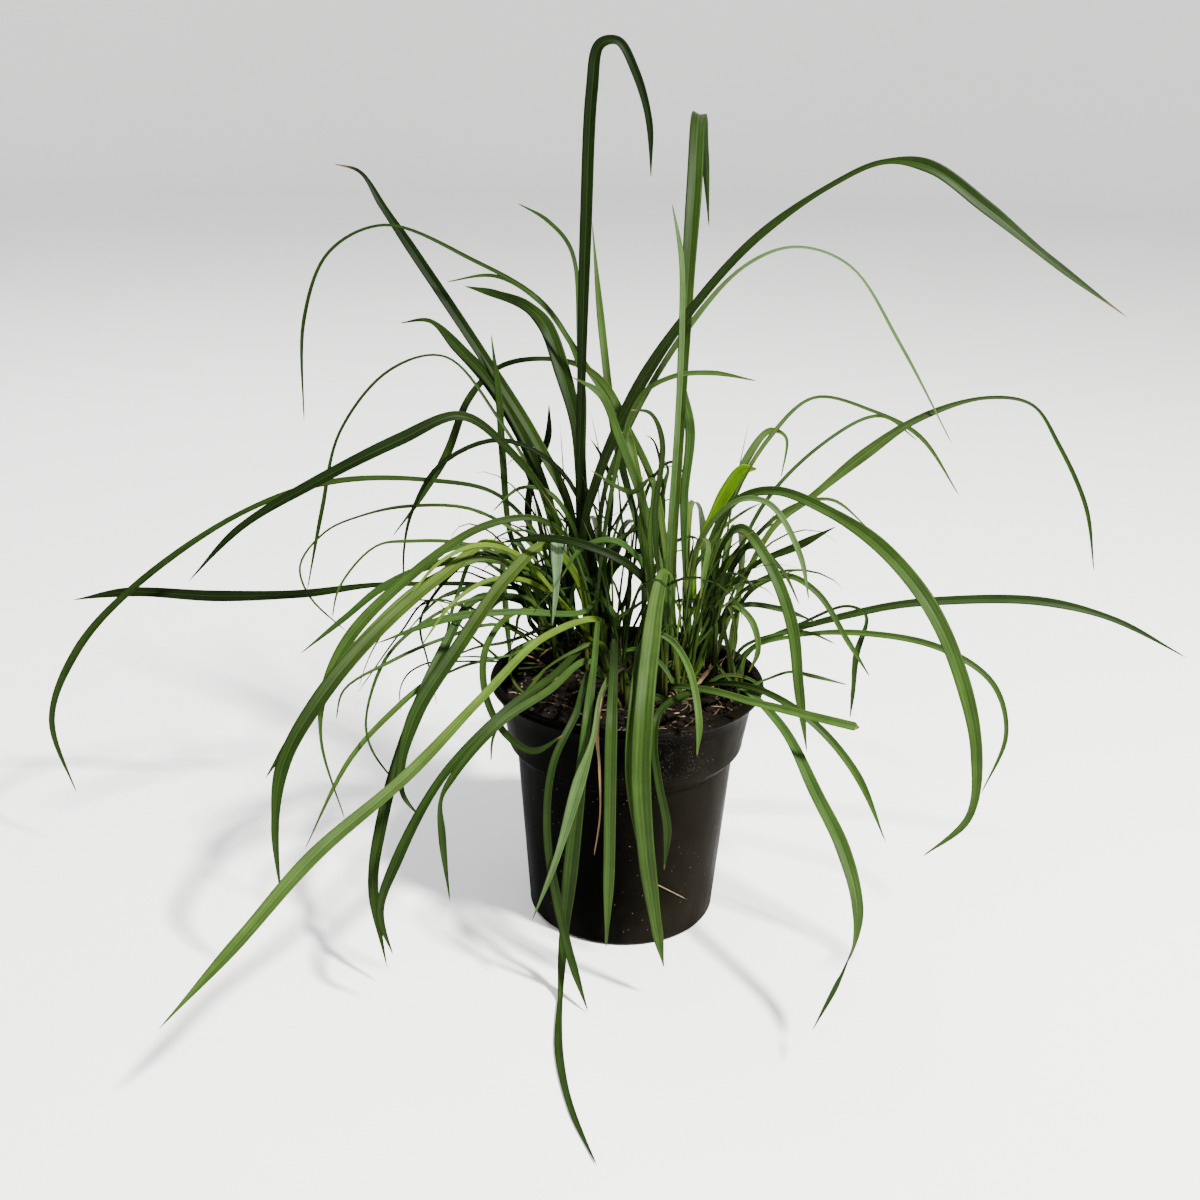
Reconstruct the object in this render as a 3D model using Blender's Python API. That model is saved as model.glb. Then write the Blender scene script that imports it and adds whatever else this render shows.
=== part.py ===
"""Potted lemongrass: a clump of long arching grass leaves in a black nursery pot.

Metres, +Z up. The origin is on the floor, on the pot's axis. The viewer stands towards -Y.
"""
import math

import bmesh
import bpy
import numpy as np
from mathutils import Vector
from mathutils.bvhtree import BVHTree

MM = 0.001

# Pot: a blow-moulded nursery container with a wide collar band and a rolled lip.
POT_HEIGHT = 205 * MM
LIP_RADIUS = 110 * MM
LIP_DEPTH = 6 * MM
COLLAR_TOP_RADIUS = 103 * MM
COLLAR_FOOT_RADIUS = 95.5 * MM
COLLAR_FOOT_HEIGHT = 152 * MM
STEP_HEIGHT = 146 * MM
WALL_TOP_RADIUS = 88 * MM
STEP_ROUNDING = 1.5 * MM
FOOT_RADIUS = 77 * MM
FOOT_ROUNDING = 5 * MM
WALL = 1.8 * MM
ROUND_SIDES = 32
DRAIN_COUNT = 8
DRAIN_RADIUS = 6 * MM
DRAIN_CIRCLE = 58 * MM
DRAIN_SIDES = 10

# Soil: a plug that fills the pot to a little under the lip.
SOIL_LEVEL = 187 * MM
SOIL_EDGE_GAP = 1.2 * MM
SOIL_RINGS = 4
GAP = 0.3 * MM
# Waves that make the soil lumpy: height in millimetres, turns per metre across and back, phase.
SOIL_WAVES = ((1.3, 61, 53, 1.3), (0.8, 127, -90, 0.0), (0.6, 40, 150, 1.6))

# Leaves: a shallow chevron in section, thickest at the midrib.
RIB_THICKNESS = 1.4 * MM
RIB_LEAST = 0.45
RIB_FULL_WIDTH = 12 * MM
FOLD = 0.16
ROOT_WIDTH = 4.2 * MM
ROOT_LIFT = 0.9 * MM
ROOT_LEAN = 0.2
END_REACH = 0.5
FACING_ANGLE = math.radians(36)
STEADINESS = 0.3
STEPS_PER_SPAN = 2
LYING_HEIGHT = 1.6 * MM
ROOT_SPACING = 3.7 * MM
CLUMP_REACH = 14 * MM
SHIFT_STEP = 4 * MM
SHIFT_TRIES = 12
SLOT_TRIES = 16
SLOTS_PER_CLUMP = 34

# Stems: round sheaths with a few short leaves fused on.
STEM_RADIUS = 3.4 * MM
STEM_TOP_RADIUS = 1.7 * MM
STEM_SIDES = 6
STEM_STEPS = 4
STEM_BOW = 0.12
STEM_LEAF_WIDTH = 2.4 * MM
STEM_LEAF_STEP = 2

# Where the reference picture was taken from, for points given by where they are seen in it.
VIEWER = Vector((-23 * MM, -1110 * MM, 688 * MM))
VIEW_DROP = math.radians(20.67)
VIEW_ROLL = math.radians(1.23)
FOCAL_PIXELS = 1500
PICTURE_MIDDLE = 600
FLOOR = None

# Root clumps on the soil: centre across and back, in millimetres from the pot's axis.
CLUMPS = {
    "left": (-56, 66),
    "middle": (-16, 52),
    "right": (38, 8),
    "rear": (62, 46),
    "edge": (80, 12),
    "front": (2, -8),
}

# Leaf colours, as linear red, green and blue.
TONES = {
    "light": (0.19, 0.31, 0.10),
    "mid": (0.11, 0.22, 0.05),
    "dark": (0.04, 0.10, 0.02),
    "bright": (0.25, 0.40, 0.03),
}

# A route point: pixels across and down in the picture, millimetres behind the pot's axis
# (FLOOR for a point that lies on the floor), leaf width in millimetres, and the leaf's twist
# in degrees. Every route starts at a root in the clump that is named first.
LEAVES = {
    "leaf_tall_left": ("middle", "dark", (
        (579, 520, 66, 5, 0), (581, 400, 70, 7, 0), (586, 220, 80, 9.5, 0), (592, 90, 92, 9.6, 0),
        (600, 45, 98, 9, 0), (618, 41, 98, 6.8, -15), (635, 70, 92, 6.8, -20), (649, 120, 86, 5.4, -10),
        (651, 178, 82, 1, 0))),
    "leaf_tall_right": ("right", "light", (
        (673, 560, 16, 6, 0), (680, 420, 34, 8, 0), (687, 290, 62, 10.5, 0), (694, 190, 96, 12.4, 0),
        (698, 120, 138, 12, 0), (701, 117, 168, 10, 0), (705, 155, 206, 7, -10),
        (709, 228, 232, 1, -10))),
    "leaf_tall_right_slim": ("right", "bright", (
        (668, 560, -8, 4, 0), (677, 430, 0, 4.5, 0), (682, 320, 8, 4.5, 0), (681, 255, 12, 4, 0),
        (672, 203, 14, 1, 0))),
    "leaf_right_high_arch": ("middle", "dark", (
        (583, 540, 62, 6, 0), (597, 480, 58, 8, -5), (640, 385, 44, 10, -5), (700, 299, 24, 7, -10),
        (758, 237, 8, 6.6, -10), (830, 186, -10, 4.2, -15), (884, 162, -22, 4, -20), (930, 167, -32, 9.4, -20),
        (985, 207, -44, 10.2, -10), (1050, 260, -58, 6.4, 0), (1128, 318, -72, 1, 0))),
    "leaf_right_high_thin": ("middle", "mid", (
        (600, 520, 48, 4, 0), (625, 436, 58, 4.8, 0), (688, 328, 76, 5, -5), (745, 266, 90, 3, -5),
        (795, 247, 98, 2.3, -10), (850, 266, 104, 2.3, -10), (900, 344, 108, 3, 0),
        (953, 446, 108, 1, 0))),
    "leaf_upper_left_straight": ("left", "mid", (
        (572, 520, 74, 7, 0), (538, 444, 88, 9, 0), (480, 352, 118, 9.4, 0),
        (414, 253, 156, 9, 0), (383, 207, 177, 6.4, 0), (360, 172, 188, 3.2, 0),
        (334, 164, 196, 1, 0))),
    "leaf_left_high_thin": ("middle", "mid", (
        (584, 470, 82, 4, 0), (580, 370, 92, 4, 0), (545, 305, 104, 3.6, 10), (471, 259, 122, 3.4, 20),
        (385, 225, 130, 2.4, 20), (329, 252, 128, 2.8, 10), (304, 320, 122, 3.4, 0),
        (304, 422, 114, 1, 0))),
    "leaf_left_mid": ("middle", "dark", (
        (574, 550, 46, 5, 0), (538, 519, 34, 5, 20), (480, 528, 16, 6.5, 10), (405, 581, -12, 8.4, 0),
        (352, 635, -38, 10, 0), (326, 684, -56, 7, 20), (321, 740, -66, 2.6, 20),
        (345, 820, -76, 1, 20))),
    "leaf_left_broad": ("left", "dark", (
        (560, 530, 66, 5, 0), (505, 446, 54, 6.5, 10), (460, 416, 42, 7.8, 10), (400, 440, 26, 10.5, 0),
        (320, 480, 6, 9.5, 0), (240, 528, -12, 6, 0), (188, 582, -22, 1, 0))),
    "leaf_left_far": ("left", "dark", (
        (548, 560, 70, 4, 0), (500, 496, 76, 3.4, 20), (430, 480, 82, 4, 30), (330, 482, 84, 5, 20),
        (240, 514, 80, 5, 0), (131, 590, 70, 6.8, 0), (77, 651, 62, 7.6, 0), (52, 720, 54, 5.8, 0),
        (77, 794, 46, 1, 0))),
    "leaf_left_level": ("left", "dark", (
        (545, 600, 84, 3.5, 0), (395, 584, 102, 4, 20), (300, 594, 108, 7.4, 10),
        (215, 596, 110, 9.7, 10), (130, 592, 108, 8.2, 10),
        (72, 600, 104, 1, 0))),
    "leaf_front_folded": ("front", "light", (
        (630, 676, -30, 3, 0), (616, 669, -66, 3.4, 0), (600, 696, -102, 3, 10), (593, 738, -124, 4, 10),
        (578, 786, -136, 9.5, 0), (556, 860, -138, 5, 0), (532, 921, -138, 1, 0))),
    "leaf_front_left_long": ("middle", "bright", (
        (600, 621, 30, 5, 0), (545, 637, -6, 6, 0), (480, 700, -78, 7, 0), (407, 776, -150, 9, 0),
        (312, 858, -212, 10.5, 0), (240, 940, -256, 9.2, 0), (158, 1030, -290, 1, 0))),
    "leaf_front_left_broad": ("left", "light", (
        (536, 590, 60, 6, 0), (492, 543, 38, 6, 10), (442, 576, 2, 9, 0), (381, 628, -48, 11.3, 0),
        (325, 692, -92, 12, 0), (284, 762, -124, 10.7, 10), (275, 825, -140, 6, 20),
        (281, 898, -150, 1, 20))),
    "leaf_front_left_mid": ("middle", "light", (
        (582, 590, 40, 6, 0), (546, 546, 24, 8, 0), (508, 577, -2, 10, 0), (458, 648, -44, 10.8, 0),
        (417, 712, -78, 11.5, 0), (401, 765, -96, 7, 20), (403, 795, -102, 4, 20), (421, 818, -108, 1, 20))),
    "leaf_front_left_low": ("left", "mid", (
        (540, 612, 58, 5, 0), (478, 598, 30, 6.5, 20), (440, 656, -18, 8, 0), (404, 742, -70, 8.5, 0),
        (382, 822, -108, 9.4, 0), (373, 886, -128, 8, 10), (387, 968, -146, 1, 20))),
    "leaf_front_left_ribbed": ("front", "mid", (
        (598, 643, 2, 5, 0), (552, 677, -62, 6, 0), (500, 716, -108, 6.5, 0), (441, 779, -142, 6.5, 0),
        (398, 858, -160, 8.3, 0), (380, 912, -166, 6, 10), (393, 955, -170, 1, 10))),
    "leaf_front_left_curl": ("front", "mid", (
        (590, 662, -24, 5, 0), (547, 692, -82, 6, 0), (499, 724, -116, 6.5, 0), (455, 774, -140, 5.5, 0),
        (441, 799, -148, 3.2, 30), (442, 835, -150, 5.8, 10), (450, 902, -150, 1, 0))),
    "leaf_front_right_small": ("edge", "mid", (
        (712, 690, -34, 4, -10), (692, 693, -58, 5, -20), (672, 701, -84, 5.5, -10), (657, 718, -112, 5.5, 0),
        (654, 745, -121, 5.5, 0), (659, 785, -124, 6, 0), (667, 828, -124, 6.8, 0),
        (664, 871, -122, 1, 0))),
    "leaf_front_broad": ("right", "mid", (
        (672, 604, 4, 5, 0), (670, 579, -6, 6, 0), (664, 573, -16, 8, 0), (657, 598, -38, 11.5, 0),
        (650, 650, -74, 14, 0), (643, 722, -113, 14.6, 0), (641, 780, -126, 14.4, 0), (647, 860, -130, 12.6, 0),
        (657, 930, -132, 8.5, 0), (664, 968, -134, 1, 0))),
    "leaf_front_pair": ("right", "mid", (
        (662, 628, -4, 6, 0), (645, 642, -48, 7, 0), (635, 692, -100, 7.5, 0), (630, 770, -126, 7.5, 0),
        (643, 873, -130, 1, 0))),
    "leaf_front_centre": ("front", "light", (
        (616, 640, -14, 5, 0), (613, 685, -86, 7, 0), (611, 738, -120, 9, 0), (609, 870, -126, 8.6, 0),
        (606, 948, -124, 2, 0))),
    "leaf_front_trailing": ("middle", "light", (
        (599, 622, 20, 4, 0), (594, 664, -58, 5, 0), (587, 722, -114, 7.4, 0), (571, 865, -132, 11.4, 0),
        (563, 945, -134, 7, 0), (560, 1000, FLOOR, 4.2, 10),
        (559, 1052, FLOOR, 6.3, 0), (571, 1108, FLOOR, 4.6, 0), (597, 1166, FLOOR, 1, 0))),
    "leaf_front_bowed": ("front", "mid", (
        (592, 672, -54, 5, 0), (576, 714, -110, 5.5, 0), (553, 764, -136, 5.5, 0), (547, 832, -142, 5.8, 0),
        (557, 900, -144, 7, 0), (572, 962, -150, 6.5, 0), (588, 1015, FLOOR, 1, 0))),
    "leaf_right_bow": ("right", "light", (
        (652, 636, -8, 4, 0), (670, 640, -36, 5, -10), (690, 672, -84, 5.4, 0), (699, 722, -116, 5.4, 0),
        (697, 757, -120, 1, 0))),
    "leaf_left_loop": ("left", "mid", (
        (548, 614, 56, 3.5, 0), (514, 613, 32, 4.5, 20), (486, 648, -16, 5.5, 10), (486, 696, -66, 5.5, 0),
        (506, 734, -104, 5.5, -10), (534, 751, -124, 5, -20), (563, 735, -130, 1, -20))),
    "leaf_right_arch_broad": ("rear", "light", (
        (706, 560, 40, 5, 0), (735, 502, 28, 6, -10), (775, 491, 8, 7.5, -15), (827, 511, -24, 8.6, -10),
        (881, 548, -64, 11.6, 0), (929, 606, -100, 12.4, 0), (960, 676, -124, 11.6, 0),
        (976, 752, -140, 9, 0), (968, 818, -148, 6, 10), (922, 857, -156, 1, 10))),
    "leaf_right_hanging": ("rear", "mid", (
        (714, 590, 48, 5, 0), (722, 545, 38, 6, 0), (742, 529, 22, 8.6, -15), (768, 562, -2, 9.4, -5),
        (791, 622, -24, 9.8, 0), (799, 690, -38, 8.4, 0), (807, 753, -48, 1, 0))),
    "leaf_right_level": ("edge", "mid", (
        (745, 653, 36, 3.4, 0), (870, 610, 34, 6.4, -10), (960, 600, 30, 7.4, -10),
        (1045, 602, 22, 7.4, -10), (1115, 620, 14, 5, -10), (1187, 658, 6, 1, -10))),
    "leaf_right_drooping": ("edge", "mid", (
        (748, 652, 20, 3, 0), (795, 636, 10, 3.4, -10), (860, 633, -6, 5, -10), (940, 648, -26, 5.4, -10),
        (992, 683, -42, 5, 0), (1006, 734, -52, 3.8, 0), (981, 794, -60, 1, 10))),
    "leaf_right_cut": ("right", "dark", (
        (672, 686, -16, 4, 0), (712, 691, -34, 5.5, 0), (752, 702, -50, 6, 0), (806, 715, -68, 6.6, 0),
        (860, 728, -84, 6.8, 0))),
    "leaf_lower_right_long": ("edge", "mid", (
        (745, 690, -24, 5, 0), (784, 730, -62, 7.4, 0), (816, 794, -112, 10, 0), (843, 850, -150, 10.6, 0),
        (857, 908, -180, 9, 10), (852, 948, -198, 7.5, 60), (836, 984, -210, 7.5, 110),
        (812, 1031, -222, 1, 130))),
    "leaf_lower_right_arch": ("right", "mid", (
        (712, 684, -14, 4, 0), (760, 690, -42, 5.4, -10), (812, 722, -66, 6.4, 0), (856, 774, -84, 6.4, 0),
        (886, 843, -96, 1, 0))),
    "leaf_right_far": ("rear", "mid", (
        (770, 532, 66, 5, 0), (813, 496, 80, 6, -5), (864, 455, 96, 9.8, -5),
        (918, 419, 110, 6, -10), (985, 398, 118, 3.2, -15), (1032, 405, 120, 3, -10),
        (1058, 444, 118, 4.2, 0), (1086, 508, 114, 4.2, 0), (1094, 572, 108, 1, 0))),
    "leaf_right_thin_crest": ("rear", "light", (
        (708, 580, 70, 3, 0), (733, 500, 94, 3.5, 0), (770, 437, 122, 4, -5), (813, 398, 148, 2.8, -15),
        (870, 410, 168, 3.2, -10), (920, 437, 178, 4.8, 0), (960, 497, 182, 1, 0))),
    "leaf_short_bright": ("rear", "bright", (
        (696, 556, 24, 4, 0), (711, 520, 16, 7, 0), (727, 491, 8, 10.5, 0), (742, 471, -2, 9.5, 0),
        (757, 469, -12, 2, -10))),
    "leaf_right_curl": ("rear", "light", (
        (706, 590, 78, 4, 0), (722, 520, 100, 5, 0), (748, 457, 126, 7, 0), (769, 431, 144, 5.5, -10),
        (786, 438, 156, 3.4, -5), (781, 478, 160, 1, 10))),
    "leaf_right_light_arch": ("right", "light", (
        (690, 570, 14, 4, 0), (714, 520, 2, 4.5, 0), (744, 499, -12, 4.5, -10), (772, 506, -26, 4.8, -5),
        (800, 555, -40, 4.6, 0), (809, 600, -48, 1, 0))),
    "leaf_right_low_arch": ("edge", "mid", (
        (734, 620, 30, 3.5, 0), (753, 589, 24, 4, -10), (788, 576, 10, 5, -10), (818, 594, -4, 5.4, 0),
        (847, 640, -18, 4.6, 0), (870, 677, -26, 1, 0))),
    "leaf_right_drop": ("edge", "light", (
        (724, 620, 14, 3.5, 0), (733, 605, 8, 4.5, -10), (752, 622, -8, 5.6, 0), (758, 650, -18, 4.6, 0),
        (748, 674, -22, 1, 10))),
    "leaf_right_dark_tip": ("edge", "dark", (
        (757, 645, 50, 3, 0), (800, 624, 42, 2.6, -10), (848, 606, 28, 2.4, -20), (866, 616, 18, 2.8, 0),
        (856, 655, 10, 5.6, 10), (853, 690, 6, 4, 10), (850, 718, 2, 1, 10))),
    "leaf_upper_left_wide": ("left", "dark", (
        (560, 545, 84, 7, 0), (528, 450, 104, 10.5, 0), (492, 386, 124, 12, 0),
        (459, 349, 146, 10.4, 0), (430, 321, 164, 4, 10), (400, 323, 174, 1, 20))),
    "leaf_upper_left_bent": ("middle", "dark", (
        (583, 520, 70, 7, 0), (577, 430, 84, 10, 0), (561, 368, 102, 13.4, 0),
        (546, 327, 118, 13, 0), (526, 306, 134, 9.6, 10), (495, 294, 150, 7, 10),
        (464, 286, 160, 1, 10))),
    "leaf_middle_tip": ("right", "mid", (
        (655, 600, 34, 4, 0), (636, 520, 62, 5.5, 0), (616, 440, 92, 6.8, 0), (602, 330, 132, 6.6, 0),
        (592, 221, 166, 1, 0))),
    "leaf_middle_cross": ("right", "light", (
        (668, 590, 24, 5, 0), (655, 490, 52, 6, 0), (628, 430, 82, 6.5, 0), (585, 365, 112, 5.5, 0),
        (541, 303, 140, 4, 10), (495, 276, 156, 3.2, 20), (446, 282, 164, 1, 20))),
    "leaf_middle_crest": ("right", "dark", (
        (650, 590, 18, 6, 0), (640, 490, 46, 7, 0), (617, 405, 84, 6.5, 0), (590, 371, 116, 5.5, 10),
        (548, 359, 144, 4, 15), (500, 367, 162, 4.8, 10), (469, 399, 166, 6.8, 0), (447, 454, 158, 7.6, 0),
        (424, 494, 148, 4, 0), (392, 537, 136, 1, 0))),
    "leaf_middle_light": ("right", "light", (
        (664, 600, -2, 5, 0), (645, 510, 14, 6.5, 0), (620, 440, 26, 7, 0), (600, 394, 32, 6, 0),
        (572, 377, 34, 1, 20))),
    "leaf_left_thin_arch": ("left", "mid", (
        (550, 515, 72, 3, 0), (498, 418, 100, 2.8, 0), (446, 357, 124, 2, 10),
        (390, 370, 138, 2.6, 10), (340, 432, 140, 2.8, 0),
        (322, 510, 136, 3.8, 10), (307, 592, 128, 1, 10))),
    "leaf_middle_level": ("right", "dark", (
        (655, 598, 6, 5, 0), (630, 566, -2, 7.2, 10), (585, 545, -2, 7, 20), (545, 538, 2, 6, 20),
        (496, 543, 6, 1, 20))),
}

# Stems: clump, then the top as a sight point (across, down, back). The leaves that are fused
# on are listed after it in the same form as above, without a clump.
STEMS = {
    "stem_left_front": ("left", (530, 560, 50), (
        ((490, 560, 34, 6, 10), (440, 563, 22, 6, 20), (385, 586, 8, 6.5, 10), (345, 618, -2, 5.2, 0),
         (300, 654, -12, 1, 0)),
        ((500, 600, 34, 4, 0), (455, 658, 2, 4, 0), (401, 704, -30, 5, 0), (351, 758, -52, 4.2, 0),
         (304, 851, -68, 1, 0)))),
    "stem_left_back": ("left", (536, 580, 92), (
        ((512, 540, 88, 4.5, 0), (503, 460, 96, 6, 0), (499, 400, 104, 6, 0), (491, 333, 112, 1, 0)),
        ((528, 510, 98, 6, 0), (536, 468, 104, 7, 0), (548, 438, 108, 6, 0), (549, 404, 110, 1, 0)),
        ((520, 545, 130, 5, 0), (504, 560, 186, 6, 0), (506, 612, 226, 6, 0), (515, 700, 246, 1, 0)))),
    "stem_middle_left": ("middle", (577, 560, 66), (
        ((560, 545, 34, 8, 0), (557, 537, 16, 10, 0), (557, 552, 8, 10, 0), (556, 590, 4, 5, 0),
         (552, 628, 0, 1, 0)),
        ((579, 460, 96, 4, 0), (579, 340, 120, 4, 0), (572, 252, 146, 3.6, 0), (548, 221, 166, 3.5, 10),
         (517, 203, 184, 1, 10)),
        ((588, 520, 122, 5, 0), (598, 532, 182, 7, 0), (604, 596, 228, 6, 0), (606, 690, 252, 1, 0)))),
    "stem_middle_right": ("middle", (596, 590, 40), (
        ((580, 613, 14, 5, 0), (510, 612, -14, 5.5, 10), (450, 618, -30, 6.5, 10), (375, 644, -46, 1, 0)),
        ((610, 500, 40, 4, 0), (640, 398, 26, 4.5, 0), (672, 377, 16, 4, -10), (712, 373, 6, 4, -10),
         (757, 381, -4, 1, -10)),
        ((622, 530, 112, 5, 0), (638, 528, 172, 7, 0), (644, 584, 222, 6, 0), (640, 690, 250, 1, 0)))),
    "stem_front": ("front", (624, 664, -30), (
        ((604, 692, -96, 2.4, 0), (597, 730, -119, 3.4, 0), (599, 762, -123, 1.8, 0),
         (600, 815, -124, 1.2, 0), (594, 856, -124, 1, 0)),
        ((640, 690, -60, 4, 0), (668, 700, -72, 5, 0), (695, 698, -76, 1, 0)))),
    "stem_right_front": ("right", (662, 600, -4), (
        ((655, 520, -6, 4.5, 0), (662, 440, -4, 4.5, 0), (650, 413, -4, 3, 10), (630, 410, -4, 1, 10)),
        ((650, 540, 4, 4, 0), (652, 480, 8, 4.5, 0), (632, 492, 16, 4.5, 20), (590, 470, 24, 1, 20)))),
    "stem_right_back": ("right", (684, 580, 14), (
        ((684, 500, 20, 6.5, 0), (690, 430, 30, 8, 0), (683, 392, 40, 6.5, 0), (678, 372, 48, 1, 0)),
        ((700, 540, -10, 4, 0), (708, 545, -26, 4.5, 30), (704, 572, -36, 4.5, 0), (700, 600, -40, 1, 0)),
        ((690, 510, 92, 5, 0), (700, 512, 162, 7, 0), (704, 570, 222, 6, 0), (700, 690, 262, 1, 0)))),
    "stem_rear": ("rear", (716, 575, 60), (
        ((745, 548, 52, 4, 0), (790, 508, 40, 3.6, -10), (832, 500, 28, 2.8, -10), (868, 528, 16, 1, 0)),
        ((750, 568, 56, 4.5, 0), (800, 545, 50, 7, -10), (837, 526, 44, 1, 0)),
        ((760, 510, 90, 3.6, 0), (828, 440, 116, 3, -5), (880, 416, 134, 3, -10), (918, 441, 142, 1, 0)),
        ((732, 530, 128, 5, 0), (742, 545, 184, 6, 0), (738, 604, 226, 6, 0), (728, 700, 246, 1, 0)))),
    "stem_edge": ("edge", (716, 622, 22), (
        ((740, 606, 36, 4.5, -10), (780, 609, 40, 5, -10), (816, 622, 42, 1, -10)),
        ((728, 607, 20, 3, 0), (736, 634, 10, 3, 0), (733, 661, 4, 1, 0)),
        ((742, 688, -8, 2.4, 0), (765, 680, -12, 2.2, 0), (790, 672, -14, 2.4, 0), (812, 676, -18, 3.6, 0),
         (848, 685, -24, 1, 0)))),
}


def clear_scene():
    for item in list(bpy.data.objects):
        bpy.data.objects.remove(item, do_unlink=True)


def material(name, colour, roughness):
    made = bpy.data.materials.new(name)
    made.use_nodes = True
    shader = made.node_tree.nodes["Principled BSDF"]
    shader.inputs["Base Color"].default_value = (*colour, 1.0)
    shader.inputs["Roughness"].default_value = roughness
    shader.inputs["Metallic"].default_value = 0.0
    return made


def add_object(name, points, faces, surface, smooth=True):
    mesh = bpy.data.meshes.new(name)
    mesh.from_pydata([tuple(p) for p in points], [], faces)
    mesh.update()
    made = bpy.data.objects.new(name, mesh)
    bpy.context.scene.collection.objects.link(made)
    mesh.materials.append(surface)
    for polygon in mesh.polygons:
        polygon.use_smooth = smooth
    return made


def sight_point(across, down, back):
    """The place that is seen at a picture point, at a distance behind the pot's axis."""
    forward = Vector((0, math.cos(VIEW_DROP), -math.sin(VIEW_DROP)))
    level_up = Vector((0, math.sin(VIEW_DROP), math.cos(VIEW_DROP)))
    level_right = Vector((1, 0, 0))
    right = level_right * math.cos(VIEW_ROLL) + level_up * math.sin(VIEW_ROLL)
    upward = level_up * math.cos(VIEW_ROLL) - level_right * math.sin(VIEW_ROLL)
    ray = forward + right * ((across - PICTURE_MIDDLE) / FOCAL_PIXELS)
    ray = ray - upward * ((down - PICTURE_MIDDLE) / FOCAL_PIXELS)
    if back is FLOOR:
        return VIEWER + ray * ((LYING_HEIGHT - VIEWER.z) / ray.z)
    return VIEWER + ray * ((back * MM - VIEWER.y) / ray.y)


def lathe_faces(rings, sides):
    """Triangles between neighbouring rings of points."""
    faces = []
    for ring in range(rings - 1):
        for side in range(sides):
            after = (side + 1) % sides
            low = ring * sides
            high = low + sides
            faces.append((low + side, high + side, high + after))
            faces.append((low + side, high + after, low + after))
    return faces


def turned(name, profile, sides, surface):
    """A closed solid of revolution. The profile runs from the axis back to the axis."""
    points = []
    for radius, height in profile[1:-1]:
        for side in range(sides):
            angle = 2 * math.pi * side / sides
            points.append((radius * math.cos(angle), radius * math.sin(angle), height))
    rings = len(profile) - 2
    faces = lathe_faces(rings, sides)
    first = len(points)
    points.append((0, 0, profile[0][1]))
    points.append((0, 0, profile[-1][1]))
    last_ring = (rings - 1) * sides
    for side in range(sides):
        after = (side + 1) % sides
        faces.append((first, side, after))
        faces.append((first + 1, last_ring + after, last_ring + side))
    return add_object(name, points, faces, surface)


def inner_profile(gap):
    """The pot's inside from the lip down to the floor of the pot, set in by a gap."""
    inset = WALL + gap
    return [
        (LIP_RADIUS - LIP_DEPTH - inset, POT_HEIGHT),
        (COLLAR_TOP_RADIUS - inset, POT_HEIGHT - LIP_DEPTH),
        (COLLAR_FOOT_RADIUS - inset, COLLAR_FOOT_HEIGHT + WALL),
        (WALL_TOP_RADIUS - inset, STEP_HEIGHT + WALL),
        (FOOT_RADIUS - inset, FOOT_ROUNDING + WALL),
        (FOOT_RADIUS - FOOT_ROUNDING - inset, WALL + gap),
    ]


def arc(centre_radius, centre_height, size, start, end, count):
    """Profile points along an arc, by angles in degrees from the outward direction."""
    points = []
    for number in range(count):
        angle = math.radians(start + (end - start) * number / (count - 1))
        across = centre_radius + size * math.cos(angle)
        points.append((across, centre_height + size * math.sin(angle)))
    return points


def make_pot():
    surface = material("pot_plastic", (0.012, 0.012, 0.011), 0.38)
    lip_half = LIP_DEPTH / 2
    outside = [(0, 0)]
    outside += arc(FOOT_RADIUS - FOOT_ROUNDING, FOOT_ROUNDING, FOOT_ROUNDING, -90, 0, 3)
    outside += [
        (WALL_TOP_RADIUS, STEP_HEIGHT - STEP_ROUNDING),
        (WALL_TOP_RADIUS + STEP_ROUNDING, STEP_HEIGHT),
        (COLLAR_FOOT_RADIUS - STEP_ROUNDING, COLLAR_FOOT_HEIGHT - STEP_ROUNDING),
        (COLLAR_FOOT_RADIUS, COLLAR_FOOT_HEIGHT + STEP_ROUNDING),
        (COLLAR_TOP_RADIUS, POT_HEIGHT - LIP_DEPTH),
    ]
    outside += arc(LIP_RADIUS - lip_half, POT_HEIGHT - lip_half, lip_half, -90, 90, 4)
    pot = turned("pot", outside + inner_profile(0) + [(0, WALL)], ROUND_SIDES, surface)
    flip_inside_out(pot)
    cut_drains(pot)
    return pot


def flip_inside_out(item):
    """Turns the faces so that they look outwards."""
    work = bmesh.new()
    work.from_mesh(item.data)
    bmesh.ops.recalc_face_normals(work, faces=work.faces)
    work.to_mesh(item.data)
    work.free()


def apply_boolean(item, other, operation):
    cut = item.modifiers.new("join", "BOOLEAN")
    cut.operation = operation
    cut.object = other
    bpy.context.view_layer.update()
    result = bpy.data.meshes.new_from_object(item.evaluated_get(bpy.context.evaluated_depsgraph_get()))
    item.modifiers.clear()
    item.data = result
    bpy.data.objects.remove(other, do_unlink=True)


def cut_drains(pot):
    """A ring of round drain holes through the pot's floor."""
    points = []
    faces = []
    for number in range(DRAIN_COUNT):
        turn = 2 * math.pi * number / DRAIN_COUNT
        centre = (DRAIN_CIRCLE * math.cos(turn), DRAIN_CIRCLE * math.sin(turn))
        start = len(points)
        for height in (-WALL, 2 * WALL):
            for side in range(DRAIN_SIDES):
                angle = 2 * math.pi * side / DRAIN_SIDES
                x = centre[0] + DRAIN_RADIUS * math.cos(angle)
                y = centre[1] + DRAIN_RADIUS * math.sin(angle)
                points.append((x, y, height))
        low = list(range(start, start + DRAIN_SIDES))
        high = [index + DRAIN_SIDES for index in low]
        faces.append(tuple(reversed(low)))
        faces.append(tuple(high))
        for side in range(DRAIN_SIDES):
            after = (side + 1) % DRAIN_SIDES
            faces.append((low[side], low[after], high[after], high[side]))
    cutter = add_object("drain_cutter", points, faces, pot.data.materials[0])
    apply_boolean(pot, cutter, "DIFFERENCE")


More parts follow.
